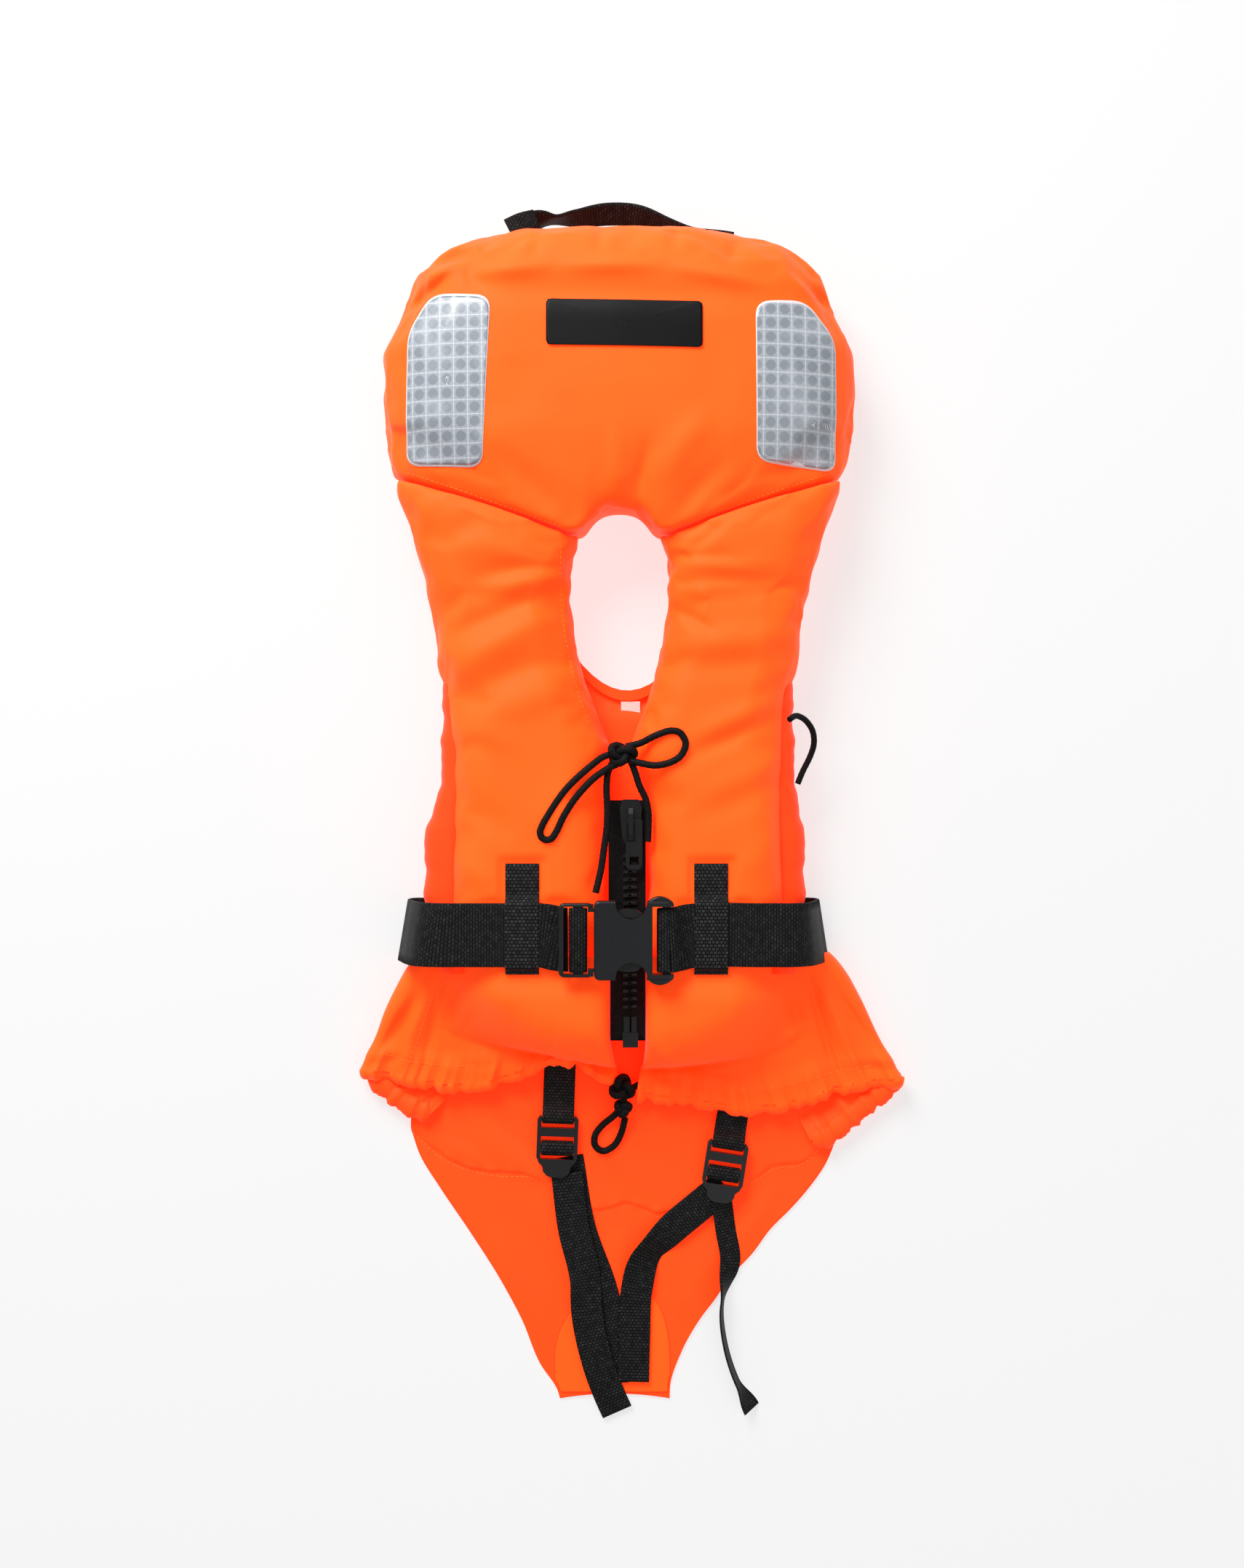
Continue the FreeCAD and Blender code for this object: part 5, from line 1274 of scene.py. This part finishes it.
# Centre lines of the free cords, in mm.
NECK_LOOP_RIGHT = [(-3, 44.5, 53), (6, 46.2, 54), (14, 50.8, 57), (23.5, 54.2, 58), (30, 53.4, 58.3),
                   (34.2, 46.2, 58.3),
                   (30.6, 38.2, 58.3), (24, 34.4, 58.2), (15, 32.4, 57.4), (5, 34.4, 54.5), (-2, 36.2, 53)]
NECK_BIGHT_LEFT = [(-9, 40.5, 53), (-17, 38.4, 54.5), (-24, 32.8, 56.6), (-31.8, 26.2, 58),
                   (-40, 18, 58.4), (-46.6, 8.8, 58.5),
                   (-53.4, -2.4, 58.5), (-55.5, -7.6, 58.5), (-54.6, -11, 58.5), (-51.5, -12.8, 58.5),
                   (-48.1, -11.9, 58.5),
                   (-44.9, -6.9, 58.5), (-41.4, 1.2, 58.5), (-35.6, 10.6, 58.3), (-29.6, 18, 57.8),
                   (-22.6, 25.2, 56.4),
                   (-14, 31.2, 54.2), (-8.5, 33.4, 53)]
NECK_END_LEFT = [(-10.5, 36, 51.5), (-14.2, 29, 52), (-15, 18, 52.2), (-14.2, 6, 52.4), (-14.6, -6, 52.4),
                 (-16.4, -18, 52.6),
                 (-18, -30, 53.6), (-20, -38.4, 55), (-21.5, -44.8, 56)]
NECK_END_RIGHT = [(-0.5, 36.5, 51), (2.6, 29, 51.2), (5, 20.5, 51.3), (9.3, 12.4, 50.4), (10.9, 4, 49.4),
                  (10.8, -4.6, 49), (10.4, -14, 48.8)]
HEM_LOOP = [(19.5, -163.6, 11.4), (13.2, -166, 11.6), (5.4, -168.4, 12), (-2.8, -173.6, 12),
            (-5.6, -183.4, 9.8), (-10.4, -189.4, 7.2),
            (-17.6, -195, 5.6), (-22.8, -201.4, 5.2), (-23.4, -208.6, 5.2), (-17.6, -213, 5.2),
            (-9.8, -208.8, 5.2),
            (-5.6, -200.4, 5.8), (-3.4, -190.6, 8)]
SIDE_LOOP = [(97, 61, 52), (101.5, 64, 46), (108, 61.4, 40), (113.2, 54.6, 36), (114.2, 46, 33),
             (111.4, 37.6, 31), (107.4, 30, 30),
             (104, 21.6, 30)]


class CordSettings(bpy.types.PropertyGroup):
    """Braided cords."""

    diameter: FloatProperty(name="Tie cord", description="Diameter of the neck and hem cords", default=0.0038,
                            min=0.001, max=0.01, unit="LENGTH")
    side_diameter: FloatProperty(name="Side cord", description="Diameter of the cord at the side",
                                 default=0.0034,
                                 min=0.001, max=0.01, unit="LENGTH")
    plait: FloatProperty(name="Plait", description="Length of one turn of the braid", default=0.0066,
                         min=0.001, max=0.03, unit="LENGTH")


def rounded_route(points, step):
    """Straight runs joined by tangent arcs that reach 0.45 of the shorter run to each side of a point."""
    p = np.array(points, float) * MM
    out = [p[0]]
    for a, b, c in zip(p, p[1:], p[2:]):
        d0, d1 = b - a, c - b
        cut = 0.45 * min(np.linalg.norm(d0), np.linalg.norm(d1))
        d0, d1 = d0 / np.linalg.norm(d0), d1 / np.linalg.norm(d1)
        turn = np.arccos(np.clip(d0 @ d1, -1, 1))
        radius = cut / tan(turn / 2)
        inward = (d1 - d0) / np.linalg.norm(d1 - d0)
        centre = b + inward * radius / np.cos(turn / 2)
        start = b - d0 * cut - centre
        tangent = d0 * radius
        angles = np.linspace(0, turn, max(3, ceil(turn * radius / step)))
        out += [centre + start * np.cos(t) + tangent * np.sin(t) for t in angles]
    out.append(p[-1])
    rough = np.array(out)
    s = lengths(rough)
    even = np.linspace(0, s[-1], max(8, int(s[-1] / step)))
    return np.stack([np.interp(even, s, rough[:, k]) for k in range(3)], 1)


def braid(name, path, diameter, plait, closed=False):
    """Round braided cord: the radius swells in a lattice of plaits that wind both ways."""
    around = np.linspace(0, 2 * pi, 24, endpoint=False)
    s = lengths(path)
    if closed:
        count = max(1, round(s[-1] / plait))
        plait = s[-1] / count
    strands, turn = 4 * around[None], 2 * pi * s[:, None] / plait
    winding = np.cos(strands + turn) * np.cos(strands - turn)
    radius = diameter / 2 * (0.96 + 0.18 * np.sqrt(np.abs(winding)))
    ring = np.stack([radius * np.cos(around), radius * np.sin(around)], -1)
    uv_u = np.append(around, 2 * pi) * diameter / 2
    uv = np.stack(np.broadcast_arrays(uv_u[None], s[:, None]), -1)
    if closed:
        path, ring = np.concatenate([path[-2:-1], path, path[1:2]]), np.concatenate([ring[-1:], ring,
                                                                                     ring[:1]])
        return grid_piece(name, carried(path, ring)[1:-2], close_u=True, close_v=True, uv=uv)
    return grid_piece(name, carried(path, ring), close_v=True, cap=True, uv=uv)


def knot(name, centre, size, diameter, plait, tilt, wide=1.0):
    """Tight knot: a cord that follows a trefoil, flattened, widened and tilted."""
    t = np.linspace(0, 2 * pi, 220)
    curve = np.stack([np.sin(t) + 2 * np.sin(2 * t), np.cos(t) - 2 * np.cos(2 * t), -1.1 * np.sin(3 * t)], 1)
    curve = curve * size * MM / 3
    c, s = np.cos(tilt), np.sin(tilt)
    curve = curve @ np.array([[c, s, 0], [-s, c, 0], [0, 0, 1]]).T * (wide, 1, 1)
    piece = braid(name, curve + np.array(centre) * MM, diameter, plait, closed=True)
    return dress(piece, "cord_weave", "jacket", "cord_braid")


class JACKET_OT_cords(bpy.types.Operator):
    """Makes the neck tie, the hem cord and the cord at the side"""

    bl_idname = "jacket.cords"
    bl_label = "Cords"

    def execute(self, context):
        settings = context.scene.jacket_cords
        size, plait = settings.diameter, settings.plait
        neck = knot("neck_knot_braid", (-5.8, 39.8, 54.2), 5.8, size * KNOT_SWELL, plait, 0.4, 1.35)
        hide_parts("neck_knot")
        hem = knot("hem_knot_braid", (-5.2, -170.5, 13.4), 6.6, size * KNOT_SWELL, plait, 1.1)
        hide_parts("hem_knots")
        small = knot("hem_knot_small_braid", (-4.8, -184.0, 10.4), 3.8, size * KNOT_SWELL, plait, 0.2)
        cords = [
            ("neck_loop_right", NECK_LOOP_RIGHT, 0.0859, size, "knot", [neck]),
            ("neck_bight_left", NECK_BIGHT_LEFT, 0.1416, size, "knot", []),
            ("neck_end_left", NECK_END_LEFT, 0.0825, size, "bare", []),
            ("neck_end_right", NECK_END_RIGHT, 0.0527, size, "bare", []),
            ("hem_cord", HEM_LOOP, 0.1013, size, "knot", [hem, small]),
            ("side_cord", SIDE_LOOP, 0.0619, settings.side_diameter, "object", []),
        ]
        for name, route, length, diameter, far_end, others in cords:
            path = rounded_route(route, 0.5 * MM)
            piece = braid(name + "_braid", path, diameter, plait)
            dress(piece, "cord_weave", "jacket", "cord_braid", name)
            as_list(others)
        return {"FINISHED"}


# ---- Seams ---------------------------------------------------------------------------------
class JACKET_OT_seams(bpy.types.Operator):
    """Sews the visible rows of stitches"""

    bl_idname = "jacket.seams"
    bl_label = "Stitches"

    def execute(self, context):
        objects = bpy.data.objects
        panels = surface_under([objects["front_panel_left"], objects["front_panel_right"]])
        collar = surface_under([objects["collar_shell"]])
        left_yoke = [(x, yoke(np.array(x * MM)) / MM + 1.6) for x in range(-138, -40, 12)]
        right_yoke = [(x, yoke(np.array(x * MM)) / MM + 1.6) for x in range(28, 128, 12)]
        stitches("yoke_stitches", [left_yoke, right_yoke], collar, "collar")
        facing = [[(-42.5, 168), (-43.4, 143), (-41.5, 121), (-34.2, 84), (-25, 56)],
                  [(26, 166), (24.2, 140), (19.4, 117), (12.4, 76)]]
        piece = stitches("facing_stitches", facing, panels, None)
        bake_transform(piece)
        skirt = surface_under([objects["skirt_front_left"], objects["skirt_front_right"]])
        hems = [[(-158, -148), (-140, -153), (-118, -156), (-98, -156)],
                [(40, -168), (72, -171), (100, -168), (130, -160), (156, -156)]]
        bands = [[(-119, -98), (-128, -122), (-138, -150), (-146, -166)],
                 [(-113, -98), (-120, -122), (-128, -150), (-134, -168)],
                 [(108, -98), (118, -122), (130, -150), (138, -172)],
                 [(115, -98), (127, -122), (140, -150), (149, -168)]]
        stitches("skirt_stitches", hems + bands, skirt, "jacket")
        flap = surface_under([objects["crotch_flap_cloth"]])
        curve = [[(-139, -201), (-118, -219), (-104, -225), (-84, -229), (-62, -230), (-46, -238)],
                 [(16, -255.5), (40, -246), (76, -234), (93, -224), (108, -222), (124, -208)]]
        stitches("flap_stitches", curve, flap, "jacket")
        return {"FINISHED"}


# ---- Stage ---------------------------------------------------------------------------------
LIGHTS = (("key", (-0.75, 1.5, 1.3), 1.0, 44), ("fill", (0.9, -0.6, 1.6), 1.6, 5))     # place, size in m, W
CAMERA_SPOT = (-5.4 * MM, 21.5 * MM)        # point of the floor below the camera


class StageSettings(bpy.types.PropertyGroup):
    """Floor, light and camera."""

    camera_height: FloatProperty(name="Camera height", description="Height of the camera above the floor",
                                 default=1.2, min=0.3, max=10, unit="LENGTH")
    lens: FloatProperty(name="Lens", description="Focal length on a 36 mm sensor", default=43.1, min=10,
                        max=200)
    light: FloatProperty(name="Light", description="Brightness of the soft lights", default=1.0, min=0,
                         max=10)


class JACKET_OT_stage(bpy.types.Operator):
    """Makes the floor, the soft lights and the camera"""

    bl_idname = "jacket.stage"
    bl_label = "Stage"

    def execute(self, context):
        settings = context.scene.jacket_stage
        scene = context.scene
        scene.view_settings.view_transform = "Standard"
        paper = Shader("floor_pale", Roughness=0.9, Specular_IOR_Level=0.1,
                       Base_Color=colour(0.28, 0.28, 0.28),
                       Emission_Color=colour(1, 1, 1), Emission_Strength=0.68)
        grain = paper.node("TexNoise", {"Vector": paper.coords(), "Scale": 60.0}).outputs[0]
        paper.bump(grain, 0.02, 0.001)
        half, under = 3.0, -0.2 * MM
        corners = np.array([[(x, y, under) for y in (-half, half)] for x in (-half, half)])
        floor = grid_piece("floor", corners, face_up=True)
        floor.data.materials.append(bpy.data.materials["floor_pale"])
        world = bpy.data.worlds.new("studio")
        world.use_nodes = True
        tree = world.node_tree
        lit, seen = tree.nodes["Background"], tree.nodes.new("ShaderNodeBackground")
        # What lights the jacket, and what the camera sees behind it.
        room_light, backdrop = 0.36 * settings.light, 0.95
        for background, strength in ((lit, room_light), (seen, backdrop)):
            background.inputs[0].default_value = (1, 1, 1, 1)
            background.inputs[1].default_value = strength
        ray, either = tree.nodes.new("ShaderNodeLightPath"), tree.nodes.new("ShaderNodeMixShader")
        tree.links.new(ray.outputs["Is Camera Ray"], either.inputs[0])
        tree.links.new(lit.outputs[0], either.inputs[1])
        tree.links.new(seen.outputs[0], either.inputs[2])
        tree.links.new(either.outputs[0], tree.nodes["World Output"].inputs[0])
        scene.world = world
        for name, place, size, power in LIGHTS:
            lamp = bpy.data.lights.new(name, "AREA")
            lamp.size, lamp.energy = size, power * settings.light
            item = bpy.data.objects.new(name, lamp)
            item.location = place
            item.rotation_euler = (-Vector(place)).to_track_quat("-Z", "Y").to_euler()
            scene.collection.objects.link(item)
        lens = bpy.data.cameras.new("camera")
        lens.lens, lens.sensor_fit, lens.sensor_height = settings.lens, "VERTICAL", 36.0
        camera = bpy.data.objects.new("camera", lens)
        camera.location = (*CAMERA_SPOT, settings.camera_height)
        scene.collection.objects.link(camera)
        scene.camera = camera
        return {"FINISHED"}


class JACKET_PT_panel(bpy.types.Panel):
    """Shows the jacket's settings and operator buttons in the sidebar"""

    bl_idname = "JACKET_PT_panel"
    bl_label = "Foam life jacket"
    bl_space_type = "VIEW_3D"
    bl_region_type = "UI"
    bl_category = "Jacket"

    def draw(self, context):
        for name in SETTINGS:
            for key in getattr(context.scene, name).bl_rna.properties.keys():
                if key not in ("rna_type", "name"):
                    self.layout.prop(getattr(context.scene, name), key)
        for operator in OPERATORS:
            self.layout.operator(operator.bl_idname)


SETTINGS = {
    "jacket_finish": FinishSettings, "jacket_pads": PadSettings, "jacket_skirt": SkirtSettings,
    "jacket_cords": CordSettings, "jacket_stage": StageSettings,
}
OPERATORS = [JACKET_OT_finishes, JACKET_OT_pads, JACKET_OT_skirt, JACKET_OT_belt, JACKET_OT_fittings,
             JACKET_OT_patches,
             JACKET_OT_straps, JACKET_OT_cords, JACKET_OT_seams, JACKET_OT_stage]


def register():
    for cls in [*SETTINGS.values(), *OPERATORS, JACKET_PT_panel]:
        bpy.utils.register_class(cls)
    for name, cls in SETTINGS.items():
        setattr(bpy.types.Scene, name, PointerProperty(type=cls))


def unregister():
    for name in SETTINGS:
        delattr(bpy.types.Scene, name)
    for cls in [JACKET_PT_panel, *reversed(OPERATORS), *SETTINGS.values()]:
        bpy.utils.unregister_class(cls)


def main():
    register()
    bpy.ops.jacket.finishes()
    bpy.ops.jacket.pads()
    bpy.ops.jacket.skirt()
    bpy.ops.jacket.belt()
    bpy.ops.jacket.fittings()
    bpy.ops.jacket.patches()
    bpy.ops.jacket.straps()
    bpy.ops.jacket.cords()
    bpy.ops.jacket.seams()
    bpy.ops.jacket.stage()


if __name__ == "__main__":
    main()
